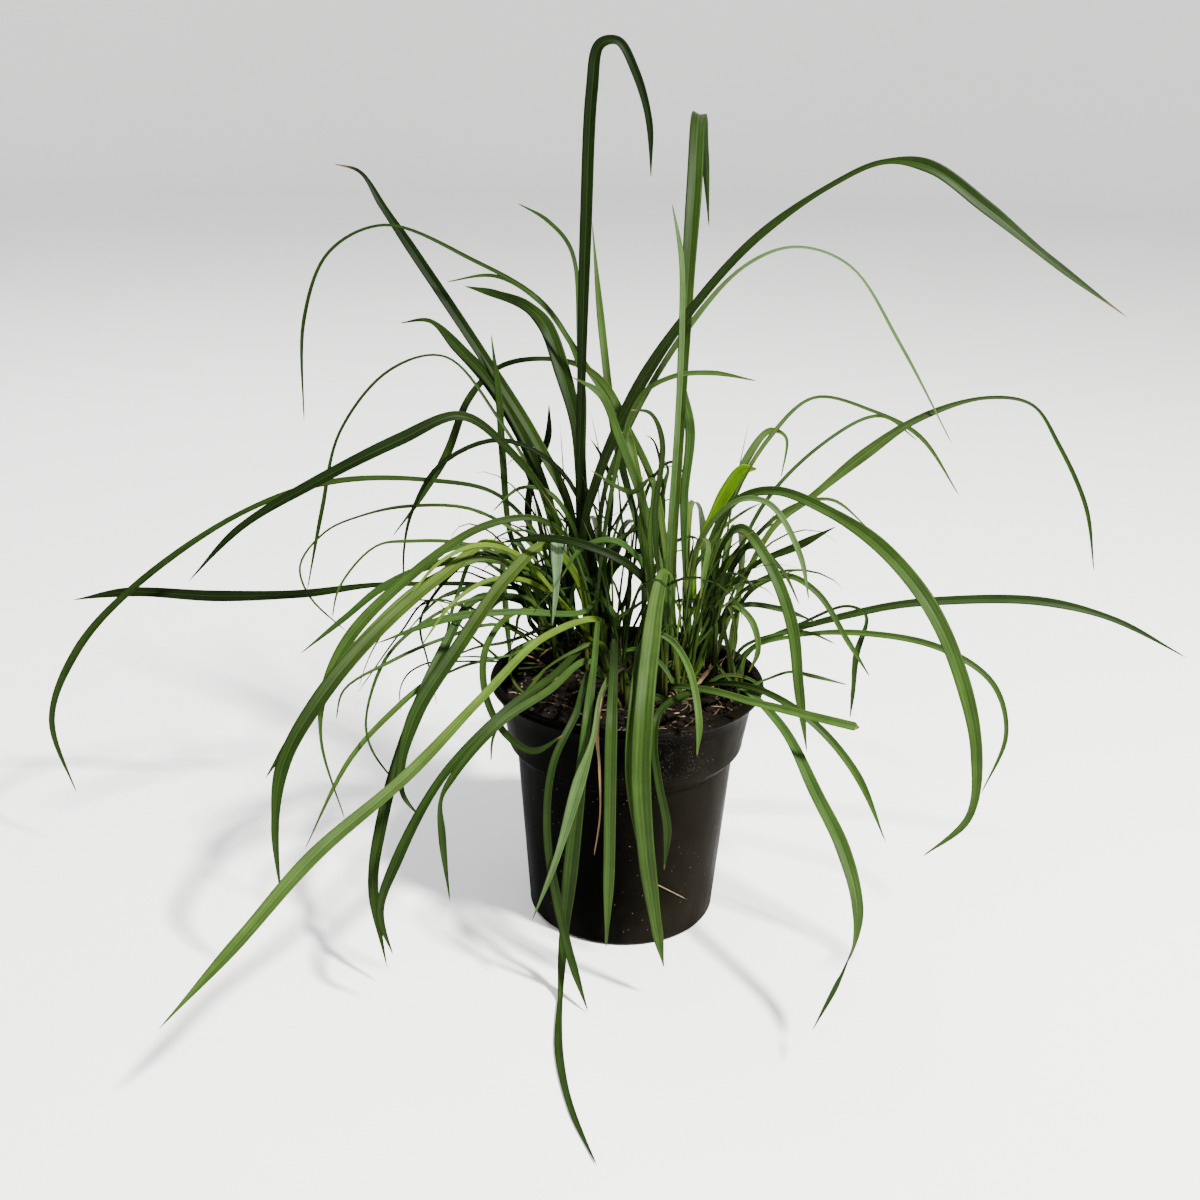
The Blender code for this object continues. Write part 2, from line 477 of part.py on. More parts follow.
def soil_height(x, y):
    """The lumpy top of the soil."""
    height = SOIL_LEVEL
    for size, across, back, phase in SOIL_WAVES:
        height += size * MM * math.sin(across * x + back * y + phase)
    return height


def make_soil():
    surface = material("soil_mix", (0.035, 0.024, 0.016), 0.95)
    sides = inner_profile(GAP)
    slope = (SOIL_LEVEL - sides[2][1]) / (sides[1][1] - sides[2][1])
    edge = sides[2][0] + slope * (sides[1][0] - sides[2][0]) - SOIL_EDGE_GAP
    points = []
    for ring in range(SOIL_RINGS):
        radius = edge * (ring + 1) / SOIL_RINGS
        for side in range(ROUND_SIDES):
            angle = 2 * math.pi * side / ROUND_SIDES
            x = radius * math.cos(angle)
            y = radius * math.sin(angle)
            points.append((x, y, soil_height(x, y)))
    for radius, height in sides[2:]:
        for side in range(ROUND_SIDES):
            angle = 2 * math.pi * side / ROUND_SIDES
            points.append((radius * math.cos(angle), radius * math.sin(angle), height))
    rings = SOIL_RINGS + len(sides[2:])
    faces = lathe_faces(rings, ROUND_SIDES)
    top = len(points)
    points.append((0, 0, soil_height(0, 0)))
    points.append((0, 0, sides[-1][1]))
    last_ring = (rings - 1) * ROUND_SIDES
    for side in range(ROUND_SIDES):
        after = (side + 1) % ROUND_SIDES
        faces.append((top, side, after))
        faces.append((top + 1, last_ring + after, last_ring + side))
    soil = add_object("soil", points, faces, surface)
    flip_inside_out(soil)
    return soil


def smooth_route(points, widths, twists, steps, first_steps):
    """Samples a curve through the points, with width and twist along it.

    The curve leaves its root nearly upright, and the first span can have fewer samples.
    """
    nodes = [np.array(p, dtype=float) for p in points]
    start = (nodes[1] - nodes[0]) * np.array((ROOT_LEAN, ROOT_LEAN, 1.0))
    before = nodes[0] - END_REACH * start
    beyond = nodes[-1] + END_REACH * (nodes[-1] - nodes[-2])
    chain = [before] + nodes + [beyond]
    places = []
    wide = []
    turn = []
    for span in range(len(nodes) - 1):
        a, b, c, d = chain[span:span + 4]
        t0 = 0.0
        t1 = t0 + math.sqrt(np.linalg.norm(b - a))
        t2 = t1 + math.sqrt(np.linalg.norm(c - b))
        t3 = t2 + math.sqrt(np.linalg.norm(d - c))
        count = steps if span else first_steps
        last = span == len(nodes) - 2
        for step in range(count + 1 if last else count):
            share = step / count
            t = t1 + share * (t2 - t1)
            ab = a * (t1 - t) / (t1 - t0) + b * (t - t0) / (t1 - t0)
            bc = b * (t2 - t) / (t2 - t1) + c * (t - t1) / (t2 - t1)
            cd = c * (t3 - t) / (t3 - t2) + d * (t - t2) / (t3 - t2)
            abc = ab * (t2 - t) / (t2 - t0) + bc * (t - t0) / (t2 - t0)
            bcd = bc * (t3 - t) / (t3 - t1) + cd * (t - t1) / (t3 - t1)
            places.append(abc * (t2 - t) / (t2 - t1) + bcd * (t - t1) / (t2 - t1))
            ease = share * share * (3 - 2 * share)
            wide.append(widths[span] + ease * (widths[span + 1] - widths[span]))
            turn.append(twists[span] + ease * (twists[span + 1] - twists[span]))
    for place in places:
        place[2] = max(place[2], LYING_HEIGHT)
    return [Vector(p) for p in places], wide, turn


def route_frames(places, turns):
    """A direction across the leaf and one out of its upper face, at every sample.

    They are settled first where the leaf turns its face up most clearly, and then carried
    both ways along it, so that the leaf never flips over between two samples.
    """
    facing = Vector((0, -math.cos(FACING_ANGLE), math.sin(FACING_ANGLE)))
    aheads = []
    for number in range(len(places)):
        ahead = places[min(number + 1, len(places) - 1)] - places[max(number - 1, 0)]
        aheads.append(ahead.normalized())
    sides = [ahead.cross(facing) for ahead in aheads]
    clearest = max(range(len(sides)), key=lambda number: sides[number].length)
    sides[clearest].normalize()
    for numbers in (range(clearest + 1, len(sides)), range(clearest - 1, -1, -1)):
        held = sides[clearest]
        for number in numbers:
            side = sides[number]
            if side.dot(held) < 0:
                side = -side
            side = side + (held - aheads[number] * held.dot(aheads[number])) * STEADINESS
            side.normalize()
            sides[number] = side
            held = side
    frames = []
    for ahead, side, turn in zip(aheads, sides, turns):
        out = side.cross(ahead)
        angle = math.radians(turn)
        across = side * math.cos(angle) + out * math.sin(angle)
        outward = out * math.cos(angle) - side * math.sin(angle)
        frames.append((across, outward))
    return frames


def blade_mesh(places, widths, turns, level_root, margin=0.0):
    """A closed leaf: chevron rings from the root to the tip, grown by a margin if asked.

    All four faces of a stretch are split from the leaf's edge to its midrib, so that its
    upper and lower sides bend alike where it twists.
    """
    frames = route_frames(places, turns)
    points = []
    for place, width, (across, outward) in zip(places[:-1], widths, frames):
        rib = RIB_THICKNESS * min(1.0, RIB_LEAST + width / RIB_FULL_WIDTH) + 2 * margin
        lift = outward * (FOLD * width)
        half = width / 2 + margin
        points.append(place - across * half + lift)
        points.append(place - outward * (rib / 2))
        points.append(place + across * half + lift)
        points.append(place + outward * (rib / 2))
    if level_root:
        for corner in range(4):
            points[corner] = Vector((points[corner].x, points[corner].y, places[0].z))
    points.append(places[-1])
    rings = len(places) - 1
    faces = [(0, 1, 3), (1, 2, 3)]
    for ring in range(rings - 1):
        for corner in range(4):
            low = 4 * ring + corner
            after = 4 * ring + (corner + 1) % 4
            if corner % 2 == 0:
                faces.append((low, after + 4, after))
                faces.append((low, low + 4, after + 4))
            else:
                faces.append((low, low + 4, after))
                faces.append((low + 4, after + 4, after))
    tip = len(points) - 1
    last = 4 * (rings - 1)
    for corner in range(4):
        faces.append((last + corner, tip, last + (corner + 1) % 4))
    return points, faces


def clump_slots(name):
    """Root places in a clump, in a sunflower pattern from its centre."""
    centre_x, centre_y = CLUMPS[name]
    golden = math.pi * (3 - math.sqrt(5))
    slots = []
    for number in range(SLOTS_PER_CLUMP):
        radius = ROOT_SPACING * math.sqrt(number)
        x = centre_x * MM + radius * math.cos(number * golden)
        y = centre_y * MM + radius * math.sin(number * golden)
        slots.append((x, y))
    return slots


def shifts():
    """Distances to try in turn: none, then back and forward by growing steps."""
    yield 0.0
    for number in range(1, SHIFT_TRIES):
        yield number * SHIFT_STEP
        yield -number * SHIFT_STEP


def shifted(point, shift):
    """The point moved away from the viewer along its sight line."""
    away = point - VIEWER
    away.normalize()
    moved = point + away * (shift / away.y)
    moved.z = max(moved.z, LYING_HEIGHT)
    return moved


def free_slots(taken, clump, toward):
    centre_x, centre_y = CLUMPS[clump]
    centre = Vector((centre_x * MM, centre_y * MM, 0))
    heading = Vector((toward.x, toward.y, 0)) - centre
    heading.normalize()
    goal = centre + heading * CLUMP_REACH
    open_slots = [slot for slot in clump_slots(clump) if (clump, slot) not in taken]
    open_slots.sort(key=lambda slot: (slot[0] - goal.x) ** 2 + (slot[1] - goal.y) ** 2)
    return open_slots[:SLOT_TRIES]


def is_clear(points, faces, placed):
    tree = BVHTree.FromPolygons(points, faces)
    return not any(tree.overlap(other) for other in placed)


def lay_leaf(name, clump, route, taken, placed):
    """Finds a root and a small shift at which the leaf touches nothing laid before."""
    seen = [sight_point(*point[:3]) for point in route]
    widths = [ROOT_WIDTH] + [point[3] * MM for point in route]
    twists = [0.0] + [point[4] for point in route]
    for shift in shifts():
        for slot in free_slots(taken, clump, seen[1]):
            root = Vector((slot[0], slot[1], soil_height(*slot) + ROOT_LIFT))
            places = [root] + [shifted(point, shift) for point in seen]
            samples = smooth_route(places, widths, twists, STEPS_PER_SPAN, 1)
            points, faces = blade_mesh(*samples, level_root=True)
            if is_clear(*blade_mesh(*samples, level_root=True, margin=GAP), placed):
                taken.add((clump, slot))
                placed.append(BVHTree.FromPolygons(points, faces))
                return points, faces
    raise RuntimeError("no clear place for " + name)


def make_leaves(taken, placed):
    for name, (clump, tone, route) in LEAVES.items():
        points, faces = lay_leaf(name, clump, route, taken, placed)
        surface = material(name + "_surface", TONES[tone], 0.5)
        add_object(name, points, faces, surface)


def stem_tube(root, top):
    """A closed, slightly bowed round stem, and its centre line."""
    bow = Vector((top.x - root.x, top.y - root.y, 0)) * -STEM_BOW
    middle = (root + top) / 2 + bow
    line, _, _ = smooth_route([root, middle, top], [0] * 3, [0] * 3, STEM_STEPS, STEM_STEPS)
    points = []
    last = len(line) - 1
    for number, place in enumerate(line):
        radius = STEM_RADIUS + (STEM_TOP_RADIUS - STEM_RADIUS) * number / last
        for side in range(STEM_SIDES):
            angle = 2 * math.pi * side / STEM_SIDES
            points.append(place + Vector((radius * math.cos(angle), radius * math.sin(angle), 0)))
    faces = lathe_faces(len(line), STEM_SIDES)
    faces.append(tuple(range(STEM_SIDES)))
    faces.append(tuple(range(len(points) - 1, len(points) - 1 - STEM_SIDES, -1)))
    return points, faces, line


def lay_stem(name, clump, top, routes, taken, placed):
    """The same search as for a leaf, for a stem with the leaves that grow from it."""
    highest = sight_point(*top)
    for shift in shifts():
        for slot in free_slots(taken, clump, highest):
            root = Vector((slot[0], slot[1], soil_height(*slot) + ROOT_LIFT))
            points, faces, line = stem_tube(root, shifted(highest, shift))
            solids = [(points, faces)]
            for number, route in enumerate(routes):
                start = line[len(line) - STEM_LEAF_STEP * (number + 1)]
                places = [start] + [shifted(sight_point(*point[:3]), shift) for point in route]
                widths = [STEM_LEAF_WIDTH] + [point[3] * MM for point in route]
                twists = [0.0] + [point[4] for point in route]
                samples = smooth_route(places, widths, twists, STEPS_PER_SPAN, STEPS_PER_SPAN)
                solids.append(blade_mesh(*samples, level_root=False))
            if all(is_clear(*solid, placed) for solid in solids):
                taken.add((clump, slot))
                placed.extend(BVHTree.FromPolygons(*solid) for solid in solids)
                return solids
    raise RuntimeError("no clear place for " + name)


def make_stems(taken, placed):
    for name, (clump, top, routes) in STEMS.items():
        solids = lay_stem(name, clump, top, routes, taken, placed)
        surface = material(name + "_surface", TONES["mid"], 0.5)
        stem = add_object(name, *solids[0], surface)
        flip_inside_out(stem)
        for number, solid in enumerate(solids[1:]):
            leaf = add_object(name + "_leaf_" + str(number), *solid, surface)
            apply_boolean(stem, leaf, "UNION")


def main():
    clear_scene()
    pot = make_pot()
    soil = make_soil()
    placed = []
    for item in (pot, soil):
        corners = [vertex.co.copy() for vertex in item.data.vertices]
        polygons = [tuple(polygon.vertices) for polygon in item.data.polygons]
        placed.append(BVHTree.FromPolygons(corners, polygons))
    taken = set()
    make_stems(taken, placed)
    make_leaves(taken, placed)


main()
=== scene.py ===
"""Potted lemongrass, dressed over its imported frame: fine leaves, undergrowth, soil and pot.

Metres, +Z up, the origin on the floor at the pot's axis, the viewer towards -Y.
"""
import math
import random

import bmesh
import bpy
import numpy as np
from mathutils import Matrix, Vector, noise


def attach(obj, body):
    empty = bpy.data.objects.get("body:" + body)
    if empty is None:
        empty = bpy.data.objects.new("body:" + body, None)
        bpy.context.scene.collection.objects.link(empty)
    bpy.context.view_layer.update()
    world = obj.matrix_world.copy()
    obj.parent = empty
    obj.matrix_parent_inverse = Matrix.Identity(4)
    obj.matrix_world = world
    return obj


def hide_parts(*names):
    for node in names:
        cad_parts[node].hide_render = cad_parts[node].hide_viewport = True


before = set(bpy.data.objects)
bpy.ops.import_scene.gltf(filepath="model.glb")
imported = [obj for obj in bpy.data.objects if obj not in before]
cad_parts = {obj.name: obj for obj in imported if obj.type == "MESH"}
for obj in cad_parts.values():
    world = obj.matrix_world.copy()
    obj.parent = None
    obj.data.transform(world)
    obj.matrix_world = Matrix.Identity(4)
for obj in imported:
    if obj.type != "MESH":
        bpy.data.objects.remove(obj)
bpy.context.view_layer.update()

MM = 0.001

# The frame's own sizes, as the solids have them.
POT_HEIGHT = 205 * MM
LIP_RADIUS = 110 * MM
LIP_DEPTH = 6 * MM
COLLAR_TOP_RADIUS = 103 * MM
COLLAR_FOOT_RADIUS = 95.5 * MM
COLLAR_FOOT_HEIGHT = 152 * MM
STEP_HEIGHT = 146 * MM
WALL_TOP_RADIUS = 88 * MM
STEP_ROUNDING = 1.5 * MM
FOOT_RADIUS = 77 * MM
FOOT_ROUNDING = 5 * MM
WALL = 1.8 * MM
DRAIN_COUNT = 8
DRAIN_RADIUS = 6 * MM
DRAIN_CIRCLE = 58 * MM
SOIL_LEVEL = 187 * MM
SOIL_EDGE_GAP = 1.2 * MM
GAP = 0.3 * MM
SOIL_WAVES = ((1.3, 61, 53, 1.3), (0.8, 127, -90, 0.0), (0.6, 40, 150, 1.6))
ROOT_LIFT = 0.9 * MM
ROOT_WIDTH = 4.2 * MM
ROOT_LEAN = 0.2
END_REACH = 0.5
FOLD = 0.16
FACING_ANGLE = math.radians(36)
STEADINESS = 0.3
STEPS_PER_SPAN = 2
LYING_HEIGHT = 1.6 * MM
ROOT_SPACING = 3.7 * MM
SHIFT_STEP = 4 * MM
SHIFT_TRIES = 12
SLOTS_PER_CLUMP = 34
STEM_RADIUS = 3.4 * MM
STEM_TOP_RADIUS = 1.7 * MM
STEM_STEPS = 4
STEM_BOW = 0.12
STEM_LEAF_WIDTH = 2.4 * MM
STEM_LEAF_STEP = 2

# Where the reference picture was taken from.
VIEWER = Vector((-23 * MM, -1110 * MM, 688 * MM))
VIEW_DROP = math.radians(20.67)
VIEW_ROLL = math.radians(1.23)
FOCAL_PIXELS = 1500
PICTURE_MIDDLE = 600
PICTURE_WIDTH = 1200
SENSOR_WIDTH = 36

# In place of a distance behind the axis, this lays a route point on the floor.
FLOOR = None

# How finely the pieces are made.
FINENESS = 9
TUFT_FINENESS = 7
WISP_FINENESS = 6
STEM_FINE_SIDES = 12
STEM_FINE_STEPS = 16
GROW_STEPS = 14
FIBRE_POINTS = 9
SOIL_RINGS = 64
SOIL_SIDES = 150
POT_SIDES = 160
DRAIN_SIDES = 32
FLOOR_SIDES = 64

# How a solid's root ring is told from its other points.
RING_LEVEL = 0.02 * MM
RING_REACH = 5 * MM
RING_SIZE = 4

# The small forms of a leaf that the solids leave out.
RIPPLE = 0.035
RIPPLE_LENGTH = 23 * MM
RIPPLE_RUN = (0.2, 0.5)
FOLD_RUN = (0.0, 0.4)
FOLD_AT_TIP = 0.6
FOLD_GAINED = 0.5
FOLD_POWER = 1.2
LEAN = 0.02
KEEL = 0.6 * MM
KEEL_SLOPE = 2.4
SKIN = 0.14 * MM
GROOVE_SHARE = 0.3
KEEL_WIDTH = 12 * MM
SHEATH_REACH = 60 * MM
SHEATH_SHARE = 0.6
SHEATH_OPENS = 0.4
SHEATH_TAPER = (1.1, 0.3)
SHEATH_LEAST = 1.1
SHEATH_PER_WIDTH = 0.07
SHEATH_MOST = 2.2
THIN_SHEATH = 20 * MM
THIN_SHEATH_RADIUS = 0.8 * MM
WISP_SHEATH_RADIUS = 1.2 * MM
ROOT_DEPTH = 3 * MM
STEM_NECK = 0.9
STEM_NECK_SLOPE = 3
STEM_WRAP = 0.10
STEM_WRAP_TURN = 2.5
FREE_FOOT_WIDTH = 0.55
FREE_WIDTH_GAIN = 1.6

# How the colour changes along a leaf, and from leaf to leaf.
SHADES = (0.86, 1.14)
WARMTH = 0.12
FULL_TURN = 6.28
FAR_TONE_RUN = (0.1, 0.75)
SHEATH_TONE_RUN = (0.3, 1.4)
DRY_RUN = (0.3, 1.8)
FOOT_REACH = 22 * MM
PATCH = 0.09
PATCH_LENGTH = 61 * MM
STEM_GREEN_RUN = (0.25, 0.9)
STEM_FOOT_RUN = (0.0, 0.35)
STEM_STRIPES = 3
STEM_STRIPE_SHADE = 0.12

# The blade's coordinate across: 0 to 1 over its face and on to 2 under it.
MIDRIB = (0.5, 0.0)
UNDER_FACE = 1.2
LEFT_EDGE = 0.01
ONCE_ROUND = 2.0

# Leaf colours in this light, as linear red, green and blue, and more colours in the same form.
# The leaf tones hold painted light and shade as well as the leaves' own greens: sunlit leaves
# get the lighter tones, shaded ones the deeper and darker, and the pale tone a greyish painted sheen.
LEAF_TONES = {
    "fresh": (0.047, 0.084, 0.0085),
    "pale": (0.042, 0.077, 0.0230),
    "light": (0.028, 0.056, 0.0100),
    "mid": (0.0180, 0.0385, 0.0060),
    "deep": (0.0080, 0.0190, 0.0022),
    "dark": (0.0022, 0.0066, 0.0003),
    "bright": (0.084, 0.188, 0.0008),
    "hanging": (0.068, 0.115, 0.0560),
}
SHEATH_TONE = (0.030, 0.043, 0.0075)
FOOT_TONE = (0.022, 0.0115, 0.0055)
RIB_TONE = (0.045, 0.075, 0.015)
UNDERSIDE_TONE = (0.014, 0.027, 0.008)
DRY_TONE = (0.085, 0.052, 0.020)
DRY_LEAF_TONE = (0.17, 0.115, 0.062)
HUSK_TONE = (0.16, 0.11, 0.055)
SOIL_TONE = (0.0009, 0.0006, 0.0004)
SOIL_PALE_TONE = (0.0072, 0.0047, 0.0026)
DRY_GRAIN_TONE = (0.06, 0.042, 0.024)
CHIP_TONES = ((0.060, 0.038, 0.019), (0.026, 0.0155, 0.0075), (0.15, 0.105, 0.058), (0.011, 0.0065, 0.0035),
              (0.018, 0.011, 0.006))
POT_TONE = (0.0003, 0.0003, 0.00025)
# The warm sheen that is painted on the pot's sunlit right side.
PAINTED_SHEEN_TONE = (0.0062, 0.0053, 0.0034)
# Dust on the pot, and on its right side a painted sheen of light as well.
DUST_AND_SHEEN_TONE = (0.022, 0.019, 0.014)
SPRAY_TONE = (0.040, 0.039, 0.036)
SPLASH_TONE = (0.16, 0.145, 0.12)
STUCK_CRUMB_TONE = (0.10, 0.07, 0.045)
FLOOR_TONES = ((0.88, 0.88, 0.875), (0.90, 0.90, 0.895))
SKY_TONE = (0.96, 0.98, 1.0, 1.0)

# How long the dry tips are, in millimetres: of most leaves, and of those that differ.
DRY_TIP = 4
DRY_TIPS = {"leaf_right_high_arch": 14, "leaf_upper_left_straight": 12, "leaf_right_cut": 1.5}
TUFT_DRY_TIP = 3 * MM
FREE_DRY_TIPS = (2, 4, 12)
HUSK_DRY_TIP = 2 * MM
FIBRE_DRY_TIP = 1 * MM

# The tones of the leaves on the stems, in turn, and those that differ.
STEM_TONES = ("mid", "light", "deep")
STEM_LOOKS = {
    ("stem_middle_left", 0): "hanging",
    ("stem_middle_left", 2): "mid",
    ("stem_right_back", 2): "pale",
    ("stem_middle_right", 2): "dark",
    ("stem_left_back", 0): "deep",
    ("stem_left_back", 1): "dark",
    ("stem_rear", 1): "deep",
}
DRY_LEAVES = {("stem_front", 0)}

# Seeds of the random draws, one for each kind of piece.
LEAF_SEED = 100
STEM_SEED = 300
UNDERGROWTH_SEED = 21
HUSK_SEED = 34
LITTER_SEED = 55

# The undergrowth piece that a tone is joined into.
TONE_PIECES = {"fresh": "bright", "pale": "light", "light": "light", "mid": "mid", "deep": "mid",
               "dark": "dark"}
# The upright shoots of these clumps stand in the light, with these tones instead.
SUNLIT_CLUMPS = ("right",)
SUNLIT_TONES = {"mid": "light", "light": "fresh", "deep": "mid", "dark": "light", "pale": "fresh"}
TUFT_ROOT_WIDTH = 2 * MM
TUFT_TIP_WIDTH = 0.5
TUFT_TWIST = 30
WISP_ROOT_WIDTH = 2.6 * MM

# Free undergrowth: how many in each clump, and how they grow, in millimetres and degrees. Two
# values are the least and the most, and a third is the likeliest.
SHOOT_COUNTS = {"left": 12, "middle": 14, "right": 6, "rear": 3, "front": 2}
SHOOT_TONES = ("mid", "light", "deep", "deep", "deep", "pale", "mid")
SHOOT_SPREAD = 50
SHOOT_LENGTHS = (110, 250, 170)
SHOOT_DROOPS = (50, 190, 120)
SHOOT_RISES = (74, 88)
SHOOT_WANDER = 40
SHOOT_LATENESS = (2, 3.4)
SHOOT_WIDTHS = (1.8, 4.4, 2.8)
SHOOT_SHEATH = 30 * MM
UPRIGHT_COUNTS = {"left": 6, "middle": 8, "right": 5, "rear": 2}
UPRIGHT_SPREAD = 40
UPRIGHT_LENGTHS = (110, 230)
UPRIGHT_DROOPS = (4, 30)
UPRIGHT_RISES = (80, 89)
UPRIGHT_WANDER = 30
UPRIGHT_LATENESS = 2
UPRIGHT_WIDTHS = (1.4, 2.8)
UPRIGHT_SHEATH = 60 * MM
HUSK_COUNTS = {"left": 12, "middle": 11, "right": 12, "rear": 4, "edge": 3, "front": 4}
HUSK_LENGTHS = (16, 70, 34)
HUSK_DROOPS = (10, 120)
HUSK_RISES = (35, 85)
HUSK_WANDER = 60
HUSK_LATENESS = 1.5
HUSK_WIDTHS = (1.2, 4.2)
HUSK_TURN = 2.2
HUSK_TWIST = 60
HUSK_SHAKE = 10
FREE_TWIST = 70
LEAST_WIDTH = 0.2 * MM
HUSK_LEAST_WIDTH = 0.3 * MM
SHOOT_REACH = 19 * MM
PLANT_MIDDLE = (-5 * MM, 34 * MM)
BACK_LIMIT = 250 * MM

# The soil: sizes of its lumps in millimetres and how close they are, and its pale patches.
SOIL_LUMPS = ((1.5, 55), (0.9, 140), (0.5, 380))
SOIL_EDGE_FROM = 0.95
SOIL_EDGE_DROP = 1.5 * MM
SOIL_PALENESS = 0.35
SOIL_PATCHES = ((0.5, 0.7, 210), (0.4, 0.2, 60))

# What lies on the soil: counts, sizes in millimetres in the same form, and how far out.
CRUMB_COUNT = 900
CRUMB_SIZES = (0.6, 3.6, 1.1)
CRUMB_RIM = 96 * MM
FINE_CRUMB = 2 * MM
CRUMB_ROUGHNESS = 0.5
GRAIN_SHADES = (0.7, 1.3)
CHIP_COUNT = 260
CHIP_SIZES = (0.7, 5.6, 1.2)
CHIP_RIM = 94 * MM
CHIP_LIFT = 0.9 * MM
CHIP_ROUGHNESS = 0.45
FIBRE_COUNT = 60
FIBRE_LENGTHS = (8, 34)
FIBRE_WIDTHS = (0.5, 1.0)
FIBRE_BEND = 1.6
FIBRE_RIM = 88 * MM
FIBRE_END_RIM = 95 * MM
FIBRE_LIFT = 0.5 * MM
FIBRE_HUMP = 2.2 * MM
# A straw that clings to the pot's wall, by the picture points of its two ends.
STRAW_ENDS = (Vector((656, 884)), Vector((688, 900)))
STRAW_SHARES = (0.0, 0.2, 0.4, 0.6, 0.8, 1.0)
STRAW_WIDTH = 0.8 * MM
STRAW_LIFT = 0.5 * MM
WALL_TRIES = 6

# The pot's section: shares along its straight parts, and its two curves at the step.
FOOT_SHARES = (0.4, 0.8, 0.97)
WALL_SHARES = (0.02, 0.25, 0.5, 0.75, 0.98)
COLLAR_SHARES = (0, 0.35, 0.7, 0.97)
WALL_CURVE = 2 * STEP_ROUNDING
COLLAR_CURVE = 2.2 * STEP_ROUNDING

# The floor, the studio's light and the lamps: name, place, target, size, power and colour.
FLOOR_REACH = 6
FLOOR_CURVE = 1.5
WORLD_STRENGTH = 0.95
LAMPS = (
    ("key", (1.3, -1.2, 2.7), (0, 0, 0.25), 0.3, 480, (1.0, 0.98, 0.93)),
    ("back", (-1.2, 1.9, 2.4), (0, 0, 0.3), 1.2, 60, (1.0, 1.0, 1.0)),
)
NEAREST_SEEN = 0.05
FARTHEST_SEEN = 60

# Root clumps on the soil: centre across and back, in millimetres from the pot's axis.
CLUMPS = {
    "left": (-56, 66),
    "middle": (-16, 52),
    "right": (38, 8),
    "rear": (62, 46),
    "edge": (80, 12),
    "front": (2, -8),
}
